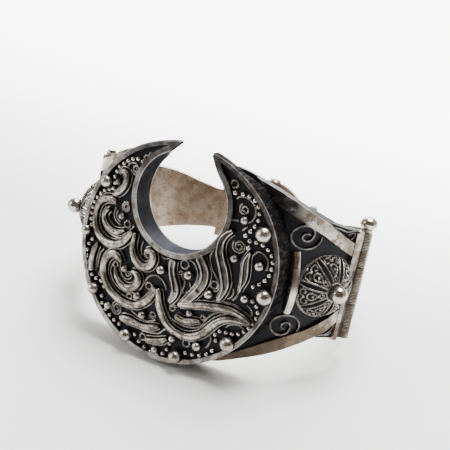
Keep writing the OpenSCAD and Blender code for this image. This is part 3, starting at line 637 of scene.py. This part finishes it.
# %% Bead rows
BEAD_R = 0.52
BEAD_ROWS = [
    [(-10.9, 17.2), (-11.87, 17.43), (-13.11, 17.2), (-14.36, 16.5), (-15.37, 15.57), (-16.46, 14.48),
     (-16.92, 13.24), (-17.16, 11.91), (-16.85, 10.75), (-17.16, 9.27), (-17.86, 9.19), (-19.18, 8.57),
     (-19.88, 7.87), (-20.58, 6.94), (-21.2, 5.77), (-21.59, 4.29), (-21.67, 2.97), (-21.51, 1.57),
     (-21.2, 0.33)],
    [(-20.3, -2.6), (-20.9, -3.5), (-21.05, -4.4), (-21.2, -5.4), (-21.1, -6.5), (-20.7, -7.7),
     (-20, -8.85), (-19.1, -9.95), (-18, -10.4), (-16.9, -10.7), (-15.9, -10.7), (-15, -11.6)],
    [(-15.2, -13.8), (-14.8, -15.06), (-13.9, -16.1), (-12.6, -16.9), (-11.7, -17.55), (-10.5, -17.9),
     (-9.4, -18.2)],
    [(-5.2, -19), (-4.25, -19.9), (-3.2, -20.5), (-2, -20.97), (-0.67, -21.3)],
    [(0.8, -21.3), (1.9, -20.9), (2.6, -20.2), (3.1, -19.1), (3.3, -18.1)],
    [(7.15, -18.8), (8.5, -18.7), (9.7, -18.5), (11, -18), (12.05, -17.3), (12.8, -16.4)],
    [(13.1, -14.05), (12.7, -12.96), (13.4, -11.9), (14.6, -11.7), (16, -11.6), (17.2, -11.3),
     (18.35, -10.5), (19.2, -9.5), (20, -8.05), (20.4, -6.8), (20.4, -5.65), (19.9, -4.5),
     (18.8, -3.7)],
    [(12.4, 16.8), (13.7, 16.75), (15, 16.3), (15.95, 15.25), (16.55, 13.85), (16.6, 12.6),
     (16.2, 11.4), (15.4, 9.95), (14.6, 8.9)],
    [(15.7, 8.1), (17.2, 8.2), (18.6, 8), (19.8, 7.4), (20.8, 6.25), (21.2, 5), (21.2, 3.85),
     (21, 2.3), (20.3, 1), (19.5, 0.1), (18.35, -0.75)]]
PITCH = 1.2
LARGER_BEADS = [(10.7, 16.65, 0.6), (15.7, 6.6, 0.6)]

beads = Tray()
places = np.concatenate([curve(row, PITCH) for row in BEAD_ROWS])
beads.beads(on_face(places, GROUND + 0.75 * BEAD_R)[0], BEAD_R)
for x, z, radius in LARGER_BEADS:
    beads.beads(on_face([(x, z)], GROUND + 0.5 * radius)[0], radius)
beads.solder("crescent_bead_rows", "front")

# %% [markdown]
# ### Rounded ribbons
# The big ribbons are cast with soft round tops, which is what draws a bright line along each of them.
# The part has their flat core, so here an oval rod lies along each one, half sunk in its top. Its
# section is nearly as wide as the ribbon and rises a quarter of a millimetre, less where it narrows.
# The last four have a sunk middle, like leaves, so they only get a fine round edge on each side.

# %% Ribbons
# Columns: x, z, width, in millimetres on the crescent's face
RIBBONS = [
    [(-15.8, 13.3, 0.6), (-15.3, 13.9, 1), (-14.5, 14.05, 1.2), (-13.9, 13.4, 1.25),
     (-13.8, 12.4, 1.25), (-14.1, 11.2, 1.3), (-14.6, 10.1, 1.2), (-15.5, 9.1, 1), (-16.6, 8.5, 0.5)],
    [(-15.4, 7.2, 0.7), (-16.2, 7.5, 1.2), (-17.4, 7.4, 1.4), (-18.7, 6.9, 1.35), (-19.8, 5.6, 1.1),
     (-20.25, 3.8, 1), (-20.2, 2, 1.05), (-19.6, 0.3, 1.15), (-18.5, -0.9, 1.3), (-17, -1.65, 1.5),
     (-15.2, -1.9, 1.5), (-13.4, -1.5, 1.5), (-12, -0.5, 1.4), (-11, 0.8, 1.25), (-10.2, 2.2, 0.9)],
    [(-16.8, 5.2, 0.4), (-17.5, 4.6, 0.7), (-17.9, 3.6, 0.85), (-17.6, 2.6, 1), (-16.7, 1.7, 1.15),
     (-15.5, 1.1, 1.2), (-14.3, 1, 1.15), (-13.1, 1.4, 0.9), (-12.1, 2.1, 0.4)],
    [(-9.4, 2.3, 0.7), (-9.4, 1.2, 0.85), (-9.45, 0, 0.95), (-9.3, -1.2, 1.2), (-8.75, -2.4, 1.45),
     (-7.9, -3.4, 1.5), (-6.8, -3.9, 1.5), (-5.6, -3.95, 1.5), (-4.6, -3.4, 1.5), (-4, -2.4, 1.4),
     (-3.95, -1.3, 1.25), (-4.4, -0.45, 1.1), (-5.3, -0.2, 0.85), (-6.2, -0.6, 0.4)],
    [(-18.3, -3.2, 0.4), (-18.8, -4.2, 0.9), (-19.1, -5.4, 1.15), (-19.25, -6.7, 1.25),
     (-19.1, -8, 1.2), (-18.7, -9.1, 1)],
    [(-11.5, -4.7, 0.5), (-12.3, -4, 1.3), (-13.4, -3.6, 1.6), (-14.6, -4.1, 1.6), (-15.5, -5.2, 1.55),
     (-15.85, -6.7, 1.55), (-15.7, -8.2, 1.6), (-15, -9.7, 1.5), (-13.5, -11.3, 1.5),
     (-11.4, -12.45, 1.5), (-9.4, -12.95, 1.5), (-7.6, -13, 1.45), (-5.9, -12.6, 1.4),
     (-4.5, -11.6, 1.4), (-3.3, -10.2, 1.45), (-2.6, -8.7, 1.25), (-2.3, -7.4, 0.9)],
    [(-12.6, -6.4, 0.4), (-12.4, -7.4, 0.8), (-11.7, -8.5, 1.1), (-10.5, -9.4, 1.3), (-9.2, -9.75, 1.4),
     (-7.9, -9.4, 1.5), (-6.9, -8.5, 1.6), (-6.55, -7.4, 1.5), (-6.9, -6.4, 1.3), (-7.7, -5.9, 1),
     (-8.5, -5.9, 0.6)],
    [(-1.6, -7.4, 0.9), (-1.15, -8.6, 1.2), (-0.85, -9.9, 1.3), (-0.4, -11, 1.5), (0.3, -12.1, 1.55),
     (1.1, -13.2, 1.5), (2.2, -14.1, 1.45), (3.4, -14.75, 1.4), (4.8, -15.1, 1.4), (6.3, -15.15, 1.4),
     (7.8, -14.85, 1.45), (9.1, -14.15, 1.4), (10.2, -13.2, 1.45), (11.1, -12, 1.45),
     (12, -10.75, 1.4), (13, -9.7, 1.3), (14.3, -8.9, 1.2), (15.9, -8.5, 1.05), (17.6, -8.4, 0.8),
     (19.4, -8.3, 0.4)],
    [(3.7, -9.2, 0.9), (5, -8.7, 1.15), (7, -8.2, 1.15), (9, -7.6, 1.25), (11, -7.2, 1.35),
     (13, -6.85, 1.35), (15, -6.75, 1.4), (17, -7.1, 1.25), (18.4, -7.6, 1), (19.4, -8.15, 0.5)],
    [(3.6, -11.6, 1.1), (4.6, -11.85, 1.05), (5.7, -11.95, 1.1), (6.8, -11.75, 1.15), (7.9, -11.35, 1),
     (9, -11, 0.4)],
    [(-9.3, -16.5, 0.8), (-8.3, -16.4, 1.4), (-7, -16.4, 1.65), (-5.5, -16.5, 1.4), (-4, -16.5, 1.2),
     (-2.8, -16.4, 1.2), (-1.6, -16, 1.2), (-0.6, -15.6, 0.9), (0.2, -15.25, 0.4)],
    [(-2.3, -19, 0.8), (-1.2, -18.85, 1.05), (0, -18.6, 1.2), (1, -18.25, 1.2), (1.9, -17.75, 1.1),
     (2.6, -17.15, 0.5)],
    [(0.7, -0.5, 1.2), (0.65, -1.5, 1.3), (0.8, -2.6, 1.25), (1.3, -3.9, 1.3), (2, -5.2, 1.4),
     (2.4, -6.3, 1.45), (2.45, -7.3, 1.3), (2.1, -8.3, 1.1), (1.6, -9.3, 0.7)],
    [(6.1, 2, 1.5), (6.8, 1.3, 1.55), (7.4, 0.4, 1.6), (7.95, -0.5, 1.7), (8.2, -1.7, 1.7),
     (8.1, -3.1, 1.65), (7.5, -4.5, 1.65), (6.7, -5.9, 1.6), (5.7, -7.3, 1.5), (4.8, -8.4, 1.2),
     (3.9, -9.3, 0.6)],
    [(12, 9.1, 0.8), (10.95, 8.1, 1.2), (10.2, 6.8, 1.4), (10.1, 5.2, 1.5), (10.4, 3.9, 1.6),
     (11.05, 2.4, 1.6), (11.8, 1, 1.7), (12.35, -0.4, 1.7), (12.75, -1.7, 1.6), (12.75, -3.1, 1.2),
     (12.4, -4.4, 1), (11.85, -5.5, 0.6)],
    [(16.45, 5.9, 0.4), (16.1, 4.8, 1), (16, 3.6, 1.4), (16.2, 2, 1.45), (16.3, 0.6, 1.4),
     (16.2, -0.5, 1), (16, -1.6, 0.6), (16, -2.5, 0.35)]]
LEAVES = (12, 13, 14, 15)
FINE_STEP = 0.15
TOP = 0.05
TOP_RISE = 0.27
TOP_INSET = 0.06


def face_frame(line):
    """Points every fine step along rows of x, z and width, with the direction across each of them."""
    line = curve(line, FINE_STEP)
    along = unit(np.gradient(line[:, :2], axis=0))
    return line, np.stack([-along[:, 1], along[:, 0]], 1)


def oval_rod(tray, line, sides=12):
    """A closed rod, across = (width / 2 - inset) cos a, up = rise sin a, lower where under 1 mm wide."""
    rows, across = face_frame(line)
    angle = full_turn(sides)
    half = np.maximum(rows[:, 2] / 2 - TOP_INSET, 0.05)[:, None]
    lift = TOP + TOP_RISE * np.minimum(1, rows[:, 2:3]) * np.sin(angle)
    flat = rows[:, None, :2] + across[:, None] * (half * np.cos(angle))[..., None]
    points, _ = on_face(flat.reshape(-1, 2), lift.reshape(-1, 1))
    points = points.reshape(len(rows), sides, 3)
    mids = points.mean(axis=1)
    rubbed = np.broadcast_to(np.clip(np.sin(angle), 0, 1), points.shape[:2])
    tray.lay(points[None], mids[:1], mids[-1:], rubbed)


tops = Tray()
for number, line in enumerate(RIBBONS):
    if number not in LEAVES:
        oval_rod(tops, line)
tops.solder("crescent_ribbon_tops", "front", ribbon_silver)

# %% [markdown]
# ### Edges of the leaves
# A plain round wire soldered along each side of a leaf is the quickest way to give it a sunk middle.

# %% Leaf edges
LEAF_WIRE = 0.14
edges = Tray()
for number in LEAVES:
    rows, across = face_frame(RIBBONS[number])
    for side in (-1, 1):
        line = rows[:, :2] + across * side * np.maximum(rows[:, 2:3] / 2 - 0.16, 0.02)
        edges.wire(*on_face(spaced(line, FINE_STEP), 0.04), LEAF_WIRE, twisted=False, worn=0.9)
edges.solder("crescent_leaf_edges", "front")

# %% [markdown]
# ### Twisted wire between the scrolls
# Spirals, small rings and loose curls fill the ground, and one more wire runs beside each scroll.
# All of them lie on the ground, so most of their height is hidden below the scrolls' tops.

# %% Twisted wire on the crescent
WIRE_R = 0.24
OUTER_RIM = 1.0
HOLLOW_RIM = 1.25
RIM_ROOM = 0.35
# Columns: x, z, outer radius, inner radius, turns, start angle in degrees
SPIRALS = [
    (-12.4, 15, 1.1, 0.3, 1.6, 200), (-13.1, 6.7, 1.15, 0.3, 2, 60), (-5.8, -1.4, 0.9, 0.3, 1.5, 90),
    (-9.7, -7, 0.75, 0.25, 1.3, 0), (-10.9, -15.2, 1.6, 0.35, 2.2, 30), (13.3, 13.9, 1.15, 0.3, 1.5, 120),
    (13.8, 6.4, 1.5, 0.35, 2, 150), (-2, -13.5, 0.85, 0.3, 1.4, 200), (2.6, -2.75, 0.5, 0.3, 1, 0),
    (-8.3, -11.5, 0.75, 0.45, 1.2, 90), (2.3, -10.5, 0.85, 0.35, 1.5, 20), (9.3, -10.4, 0.65, 0.3, 1.2, 0)]
# Columns: x, z, radius
RINGS = [
    (-10.3, 18.1, 0.55), (-9.3, 18.9, 0.5), (-12, 3.3, 0.75), (-13.2, -6, 0.6), (-16.7, -9.3, 0.45),
    (-4.1, -7.75, 0.7), (-3.3, -18.95, 0.7), (6.85, -16.8, 0.75), (3.1, -0.7, 0.9), (10.3, -2.85, 0.8),
    (10.2, 18.3, 0.75)]
CURLS = [
    [(-14.5, 15), (-14.1, 15.9), (-13, 16.3), (-12, 15.9)],
    [(-14, -6), (-14.2, -7.5), (-13.7, -8.8), (-12.6, -9.9), (-11, -10.7), (-9.4, -10.9)],
    [(-12, -5), (-11.9, -6), (-11.6, -7), (-10.9, -7.8), (-9.9, -8.2), (-9, -7.9),
     (-8.6, -7.2)],
    [(-4.9, -8), (-5.15, -7), (-4.6, -5.9), (-3.5, -5.2), (-2.3, -5.1), (-1.1, -5.6), (-0.3, -6.5),
     (0, -7.3)],
    [(16.95, 5.4), (17.6, 6.3), (18.5, 6.5), (19.6, 5.85), (20.2, 4.8), (20.2, 3.2)],
    [(-15.6, 6), (-15.9, 5), (-15.6, 3.8), (-14.9, 3), (-13.7, 2.6)],
    [(-15, 5.6), (-15.2, 4.6), (-14.7, 3.6), (-13.9, 3.2)],
    [(-7.4, 1), (-7.6, -0.5), (-7.2, -1.9)],
    [(-2.5, -0.6), (-1.7, -0.95), (-0.6, -0.5)],
    [(-16.9, -3.7), (-17.6, -4.8), (-17.85, -6.5), (-17.8, -8.2)],
    [(-20, -4.2), (-20.2, -6), (-19.9, -7.6)],
    [(1.3, -11.5), (2.2, -12.6), (4, -13.2), (6.2, -13.35), (8.1, -12.9), (9.4, -11.9), (10, -10.7),
     (10.9, -9.3), (11.9, -8.4), (13, -7.8)],
    [(3.9, 0.45), (4.9, 0.35), (5.7, -0.55), (6.3, -1.7), (6.4, -3.1), (6.05, -4.2), (5.4, -5.5),
     (4.6, -6.5)],
    [(2.85, -3.3), (3.75, -4), (3.9, -5), (3.65, -6.05), (4, -6.75)],
    [(5, -4), (5.4, -5)],
    [(8.7, 5.1), (8.4, 3.5), (8.2, 2.6), (8.9, 0.7), (9.8, -0.5), (10.8, -1.7), (11.35, -2.9),
     (11.2, -3.8), (10.4, -4.2)],
    [(14.4, -2.4), (14.6, -3.3), (14.3, -4.2), (13.7, -4.8)],
    [(15.6, -2.4), (15.6, -3.3), (15.2, -4.2), (14.7, -4.8)],
    [(17.9, -4.8), (19, -5.7), (19.3, -6.8)],
    [(14.5, -10.7), (15.5, -9.8), (17, -9.45), (18.2, -9.8)],
    [(11.7, -13.5), (12, -14.4), (11.6, -15.7), (11.3, -16.3)],
    [(13.7, 9.7), (14.6, 10.7)],
    [(11.2, 15.6), (11.9, 16.2), (13.3, 16.3), (14.6, 15.7), (15.5, 14.6), (15.7, 13.2), (15.2, 12),
     (14.2, 11.4)],
    [(12.6, 11.2), (11.6, 11.3), (10.8, 10.6), (10.8, 9.6), (11.4, 9)]]


def inside_rims(flat):
    """Whether each place lies between the two rims of the crescent, with some room."""
    from_middle = np.hypot(flat[:, 0] - CRESCENT[0], flat[:, 1] - CRESCENT[1])
    from_hollow = np.hypot(flat[:, 0] - HOLLOW[0], flat[:, 1] - HOLLOW[1])
    inside = from_middle < CRESCENT[2] - OUTER_RIM - RIM_ROOM
    return inside & (from_hollow > HOLLOW[2] + HOLLOW_RIM + RIM_ROOM)


wires = Tray()
lines = [spiral(*row) for row in SPIRALS] + [ring(*row) for row in RINGS] + [curve(row) for row in CURLS]
for line in lines:
    wires.wire(*on_face(line, GROUND + 0.8 * WIRE_R), WIRE_R)
# A twisted wire also follows both sides of every ribbon, as far as the rims leave room
BESIDE_RIBBON = 0.32
for ribbon in RIBBONS:
    rows, across = face_frame(ribbon)
    for side in (-1, 1):
        line = spaced(rows[:, :2] + across * side * (rows[:, 2:3] / 2 + BESIDE_RIBBON))
        kept = np.flatnonzero(inside_rims(line))
        for run in np.split(kept, np.flatnonzero(np.diff(kept) > 1) + 1):
            if len(run) > 8:
                wires.wire(*on_face(line[run], GROUND + 1.4 * WIRE_R), WIRE_R, sides=6)
wires.solder("crescent_twisted_wires", "front")

# %% [markdown]
# ### Plain ridges
# Four longer lines are smooth and thinner than the scrolls, so they are plain wire, a little rubbed.

# %% Smooth wire on the crescent
RIDGE_WIRE = 0.22
RIDGES = [
    [(-18.3, 5.3), (-18.9, 4), (-18.8, 2.5), (-18, 1.1), (-16.5, 0.1), (-14.5, -0.3), (-12.6, 0.2),
     (-11.2, 1.5), (-10.6, 2.9), (-10.5, 3.6)],
    [(-7.2, -14.4), (-5.4, -15), (-3.8, -15.35), (-2.2, -15), (-1, -14.3)],
    [(-3.8, -17.7), (-1, -17.3), (0.3, -16.9), (1, -16), (1.6, -15.5)],
    [(10.5, -6.1), (12.5, -5.7), (14.5, -5.55), (16.5, -5.9), (18, -6.7), (19.3, -7.9)]]
ridges = Tray()
for line in RIDGES:
    ridges.wire(*on_face(curve(line, 0.2), GROUND + 0.15), RIDGE_WIRE, twisted=False, worn=0.75)
ridges.solder("crescent_smooth_wires", "front")

# %% [markdown]
# ## Filigree domes
# Each dome stands on the panel beside its hinge. It is not cast but built: pairs of twisted wire run
# from the ball down to a ring at the foot, and leaf loops, small rings and beads fill the gaps.
# The solid in the part is a pierced shell with the same outline, so here the wires take its place.

# %% Points on the side panels
HINGE_X = clasp["pos_m"][0] * 1000
DOME_U = 7.5


def panel_frame(u):
    """Middle and directions (towards the hinge, up, outwards) of the right panel at u from its end."""
    az = math.radians(PANEL_AZ) - u / PANEL_R
    out = np.array([math.sin(az), -math.cos(az), 0])
    toward = np.array([math.cos(az), math.sin(az), 0])
    return np.array([*PANEL_AXIS, 0]) + PANEL_R * out, np.stack([toward, [0, 0, 1], out])


def on_panel(flat, height):
    """(u, z) drawn on the right panel to points in the ring's frame, with the panel's outward direction."""
    u, z = np.asarray(flat, float).T
    az = math.radians(PANEL_AZ) - u / PANEL_R
    out = np.stack([np.sin(az), -np.cos(az), 0 * az], 1)
    return np.array([*PANEL_AXIS, 0]) + out * (PANEL_R + height) + z[:, None] * [0, 0, 1], out


def both(name, build, body="front", finish=None):
    """Builds a piece on the right side and its mirror image on the left."""
    pair = []
    for side, flip in (("right", 1), ("left", -1)):
        tray = Tray()
        build(tray)
        tray.points = [p * (flip, 1, 1) for p in tray.points]
        if flip < 0:
            tray.faces = [face[::-1] for face in tray.faces]
        pair.append(tray.solder(f"{name}_{side}", body, finish))
    return pair


print("the dome stands round", panel_frame(DOME_U)[0].round(2))

# %% [markdown]
# ### Drawing on a dome
# A place on a dome is an angle down from its top and a turn about it, like a latitude and a
# longitude. Small shapes are drawn in millimetres beside such a place.

# %% Curves on a dome
FOOT_R = 6.95
DOME_H = 4.2
SPHERE_R = (FOOT_R**2 + DOME_H**2) / (2 * DOME_H)
FOOT = math.degrees(math.asin(FOOT_R / SPHERE_R))
BALL_R = 1.8
SECTORS = 7
FINE_WIRE = 0.22


def on_dome(polar, turn):
    """Angle down from the dome's top and turn about it, in degrees, to points and outward directions."""
    polar, turn = np.broadcast_arrays(np.radians(polar), np.radians(turn))
    middle, axes = panel_frame(DOME_U)
    out = np.stack([np.sin(polar) * np.cos(turn), np.sin(polar) * np.sin(turn), np.cos(polar)], -1)
    flat = out * (SPHERE_R - FINE_WIRE) + [0, 0, DOME_H - SPHERE_R]
    return middle + flat @ axes, out @ axes


def beside(polar, turn, across, down):
    """The place that lies across and down, in millimetres, from a place on the dome."""
    circle = SPHERE_R * np.sin(np.radians(polar))
    return polar + np.degrees(down / SPHERE_R), turn + np.degrees(across / circle)


def leaf(polar, turn, width, height):
    """A loop, across = w/2 sin t |sin(t/2)| and down = -h/2 cos t, so it is pointed at the top."""
    t = np.linspace(0, 2 * math.pi, 50)
    return beside(polar, turn, width / 2 * np.sin(t) * np.abs(np.sin(t / 2)), -height / 2 * np.cos(t))


def hook(polar, turn, size, side, turns):
    """A curl that starts at a rib and winds in: its radius falls from size to a third over the turns."""
    t = np.linspace(0, 1, 60)
    angle = 2 * math.pi * turns * t
    radius = size * (1 - 0.68 * t)
    return beside(polar, turn, -side * radius * np.cos(angle), radius * np.sin(angle))


print("sphere of the dome:", round(SPHERE_R, 3), "mm, down to", round(FOOT, 1), "degrees")

# %% [markdown]
# ### The two domes
# Seven pairs of ribs part the dome into sectors. Each sector holds two curls at its foot, one leaf
# above them and a smaller one near the top, with four grains of silver down its middle.

# %% The domes
# Rows of the filling, in degrees down from the top
COLLAR = 14.5
SMALL_LEAF_ROW = 22.0
LEAF_ROW = 36.0
CURL_ROW = 50.5


def dome(tray):
    """Ribs, curls, leaves, grains and three rings, with the ball on top."""
    def lay(place, radius=FINE_WIRE):
        path, up = on_dome(*place)
        rows = spaced(np.concatenate([path, up], 1))
        tray.wire(rows[:, :3], rows[:, 3:], radius)

    polar = np.linspace(COLLAR, FOOT - 1, 90)
    for k in range(SECTORS):
        rib = 360 / SECTORS * (k + 0.35)
        gap = rib + 180 / SECTORS
        spread = 0.36 + 0.30 * np.sin(math.pi * (polar - COLLAR) / (FOOT - COLLAR)) ** 0.8
        for side in (-1, 1):
            lay(beside(polar, rib, side * spread, 0 * polar))
            lay(hook(CURL_ROW, gap + side * 10.5, 0.95, side, 0.95))
        lay(leaf(LEAF_ROW, gap, 1.9, 2.5))
        lay(leaf(SMALL_LEAF_ROW, gap, 1.0, 1.1), FINE_WIRE * 0.85)
        # Columns: angle down, turn, radius
        grains = [(FOOT - 2.6, gap, 0.34), (CURL_ROW, gap, 0.26), (LEAF_ROW + 0.5, gap, 0.30),
                  (SMALL_LEAF_ROW + 5, gap, 0.22)]
        angles, turns, radii = np.array(grains).T
        tray.beads(on_dome(angles, turns)[0], radii, 8, 5)
    turn = np.linspace(0, 361, 260)
    for angle, radius in ((COLLAR, 0.24), (FOOT - 1.2, 0.26), (FOOT + 1.6, 0.26)):
        lay((np.full_like(turn, angle), turn), radius)
    middle, axes = panel_frame(DOME_U)
    tray.beads([middle + axes[2] * (DOME_H + BALL_R - 0.9)], BALL_R, 40, 29)


for thing, side in zip(both("filigree_dome", dome), ("right", "left")):
    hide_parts(f"dome_{side}")

# %% [markdown]
# ## Corner wires
# Where each strip meets the hinge, a little triangle of dark ground is left over. The maker filled
# it with a loop and a curl of plain wire, bent with round-nosed pliers and soldered flat.

# %% Corner wires
CORNER_WIRE_R = 0.17
# Columns: distance from the panel's end, height along the wrist
CORNER_WIRES = [
    [(8.2, 12.3), (6.4, 11.45), (4.8, 10.7), (3.7, 10.2), (2.9, 10.5), (2.6, 11.1), (2.8, 11.6),
     (3.6, 11.5), (4.4, 11.2)],
    [(8.6, 12.75), (6.6, 12.3), (5, 11.85), (3.6, 11.95), (2.7, 12)],
    [(3.6, 9.2), (2.9, 9.5), (2.9, 9.9)],
    [(6.2, -11), (4.6, -10.85), (3.4, -10.3), (2.8, -9.5), (2.7, -8.6)],
    [(4.4, -11.1), (3.4, -10.9), (2.8, -10.4)]]


def corner_wires(tray):
    """Plain wires on the corner plate of the right panel."""
    for row in CORNER_WIRES:
        tray.wire(*on_panel(curve(row, FINE_STEP), 0.12), CORNER_WIRE_R, twisted=False, worn=0.7)


both("corner_wires", corner_wires)

# %% [markdown]
# ## Hinges
# The knuckles are tubes cut round with fine grooves, or wire wound close on a pin and soldered.
# A lathe profile gives them: the radius goes up and down once for each groove. The middle sleeve
# on each side rides with the back half, and the outer two with the front.

# %% Ribbed knuckles
KNUCKLE_R = 1.15
RIB = 0.33
RIB_H = 0.13
END_GAP = 0.03
# Columns: bottom, top, radius to add, body
KNUCKLES = [(-12.0, -4.25, 0.06, "front"), (-4.1, 3.9, 0.06, "back"), (4.05, 11.6, 0.0, "front")]


def knuckle(bottom, top, more):
    """A sleeve round the hinge axis, radius = base + rib height times |sin(pi z / rib)|."""
    def build(tray):
        z = np.linspace(bottom + END_GAP, top - END_GAP, int((top - bottom) / RIB) * 5 + 1)[:, None]
        turn = full_turn(28)[None, :]
        crest = np.abs(np.sin(math.pi * (z - bottom) / RIB))
        r = KNUCKLE_R + more + RIB_H * crest
        rows = np.stack([HINGE_X + r * np.cos(turn), r * np.sin(turn), z + 0 * turn], -1)
        rows = rows[:, ::-1]
        ends = np.array([[HINGE_X, 0, z[0, 0]], [HINGE_X, 0, z[-1, 0]]])
        rubbed = np.broadcast_to(0.15 + 0.85 * crest**1.4, rows.shape[:2])
        tray.lay(rows[None], ends[:1], ends[1:], rubbed[None])
    return build


for number, (bottom, top, more, body) in enumerate(KNUCKLES):
    both(f"ribbed_knuckle_{number + 1}", knuckle(bottom, top, more), body, rib_silver)

# %% [markdown]
# ## Back medallion
# The photograph shows only the medallion's upper edge, so its face is a guess in the style of the
# front: a ring of twisted wire round the boss, another near the edge, and a row of beads between.

# %% Wire and beads on the back medallion
MEDALLION_X = -1.3
BACK_AXIS_Y = -33.1
MEDALLION_FACE_R = 61.03
MEDALLION_WIRE_R = 0.26
MEDALLION_RINGS = (6.25, 9.7)
BEAD_CIRCLE = 7.9


def on_back(flat, height):
    """(x, z) drawn on the medallion, which looks to the back."""
    return on_drum(flat, height, BACK_AXIS_Y, MEDALLION_FACE_R, 1)


dressing = Tray()
for radius in MEDALLION_RINGS:
    dressing.wire(*on_back(ring(MEDALLION_X, 0, radius, 1.01), 0.15), MEDALLION_WIRE_R)
turn = full_turn(36)
row = np.stack([MEDALLION_X + BEAD_CIRCLE * np.sin(turn), BEAD_CIRCLE * np.cos(turn)], 1)
dressing.beads(on_back(row, 0.3)[0], 0.5)
dressing.solder("medallion_dressing", "back")

# %% [markdown]
# ## The studio
# The backdrop is one pale sheet that runs from under the piece up to the wall behind it. Behind the
# piece it is nearly white, so there it gives light itself, and less of it on the right, where the
# side panel would mirror it.

# %% Floor and backdrop
SWEEP_FRONT = -6.0
SWEEP_BACK = 0.6
SWEEP_R = 0.6
SWEEP_TOP = 2.0
SWEEP_HALF = 2.4
n = Nodes("pale_sweep")
n.ring_place()
x, y, z = n.split(n.coordinates("Object"))
n.set("Base Color", n.mix(n.noise(60, 2.0), (0.87, 0.875, 0.87), (0.90, 0.90, 0.89)))
n.set("Roughness", 0.6)
n.set("Emission Color", (1, 1, 1))
glow = n.plus(n.ramp(y, -0.02, 0.07, 0.0, 0.5), n.ramp(y, 0.01, 0.15, 0.0, 5.0))
n.set("Emission Strength", n.times(glow, n.ramp(x, 0.12, 0.03, 0.02, 1.0)))
angle = np.linspace(0, math.pi / 2, 24)
bend = np.stack([SWEEP_BACK + SWEEP_R * np.sin(angle), SWEEP_R * (1 - np.cos(angle))], 1)
profile = np.concatenate([[[SWEEP_FRONT, 0.0]], bend, [[SWEEP_BACK + SWEEP_R, SWEEP_TOP]]])
across = np.linspace(-SWEEP_HALF, SWEEP_HALF, 9)
points = np.stack(np.broadcast_arrays(across[None, :], profile[:, :1], profile[:, 1:]), -1).reshape(-1, 3)
floor = add_object("studio_sweep", points, grid_faces(len(profile), len(across))[:, ::-1], n.owner)
print("sweep with", len(points), "points")

# %% [markdown]
# ### Surround and soft boxes
# Polished silver shows what stands round it. The room is pale, with one dark warm patch on the side
# of the photograph's camera, which puts a dark spot in the middle of every ball. A soft box behind
# and above throws the soft shadow forwards, and a weaker one on the left lights the crescent's face.

# %% Surround and soft boxes
n = Nodes("studio", bpy.data.worlds, "Background")
bpy.context.scene.world = n.owner
patch = n.ramp(n.dot(n.coordinates("Generated"), tuple(to_camera)), 0.42, 0.72)
n.set("Color", n.mix(patch, (0.56, 0.575, 0.59), (0.20, 0.155, 0.11)))


def area_light(name, place, target, size, power):
    """A square soft box at a place in row metres, turned to face the target."""
    data = bpy.data.lights.new(name, "AREA")
    data.size = size
    data.energy = power
    lamp = bpy.data.objects.new(name, data)
    bpy.context.scene.collection.objects.link(lamp)
    lamp.location = place
    lamp.rotation_euler = (Vector(place) - Vector(target)).to_track_quat("Z", "Y").to_euler()
    print(f"{name}: {power} W")


area_light("soft_box_above", (0.04, 0.13, 0.45), (0, 0, 0.02), 0.26, 6)
area_light("soft_box_left", (-0.50, -0.34, 0.30), (0, -0.02, 0.02), 0.30, 2.0)
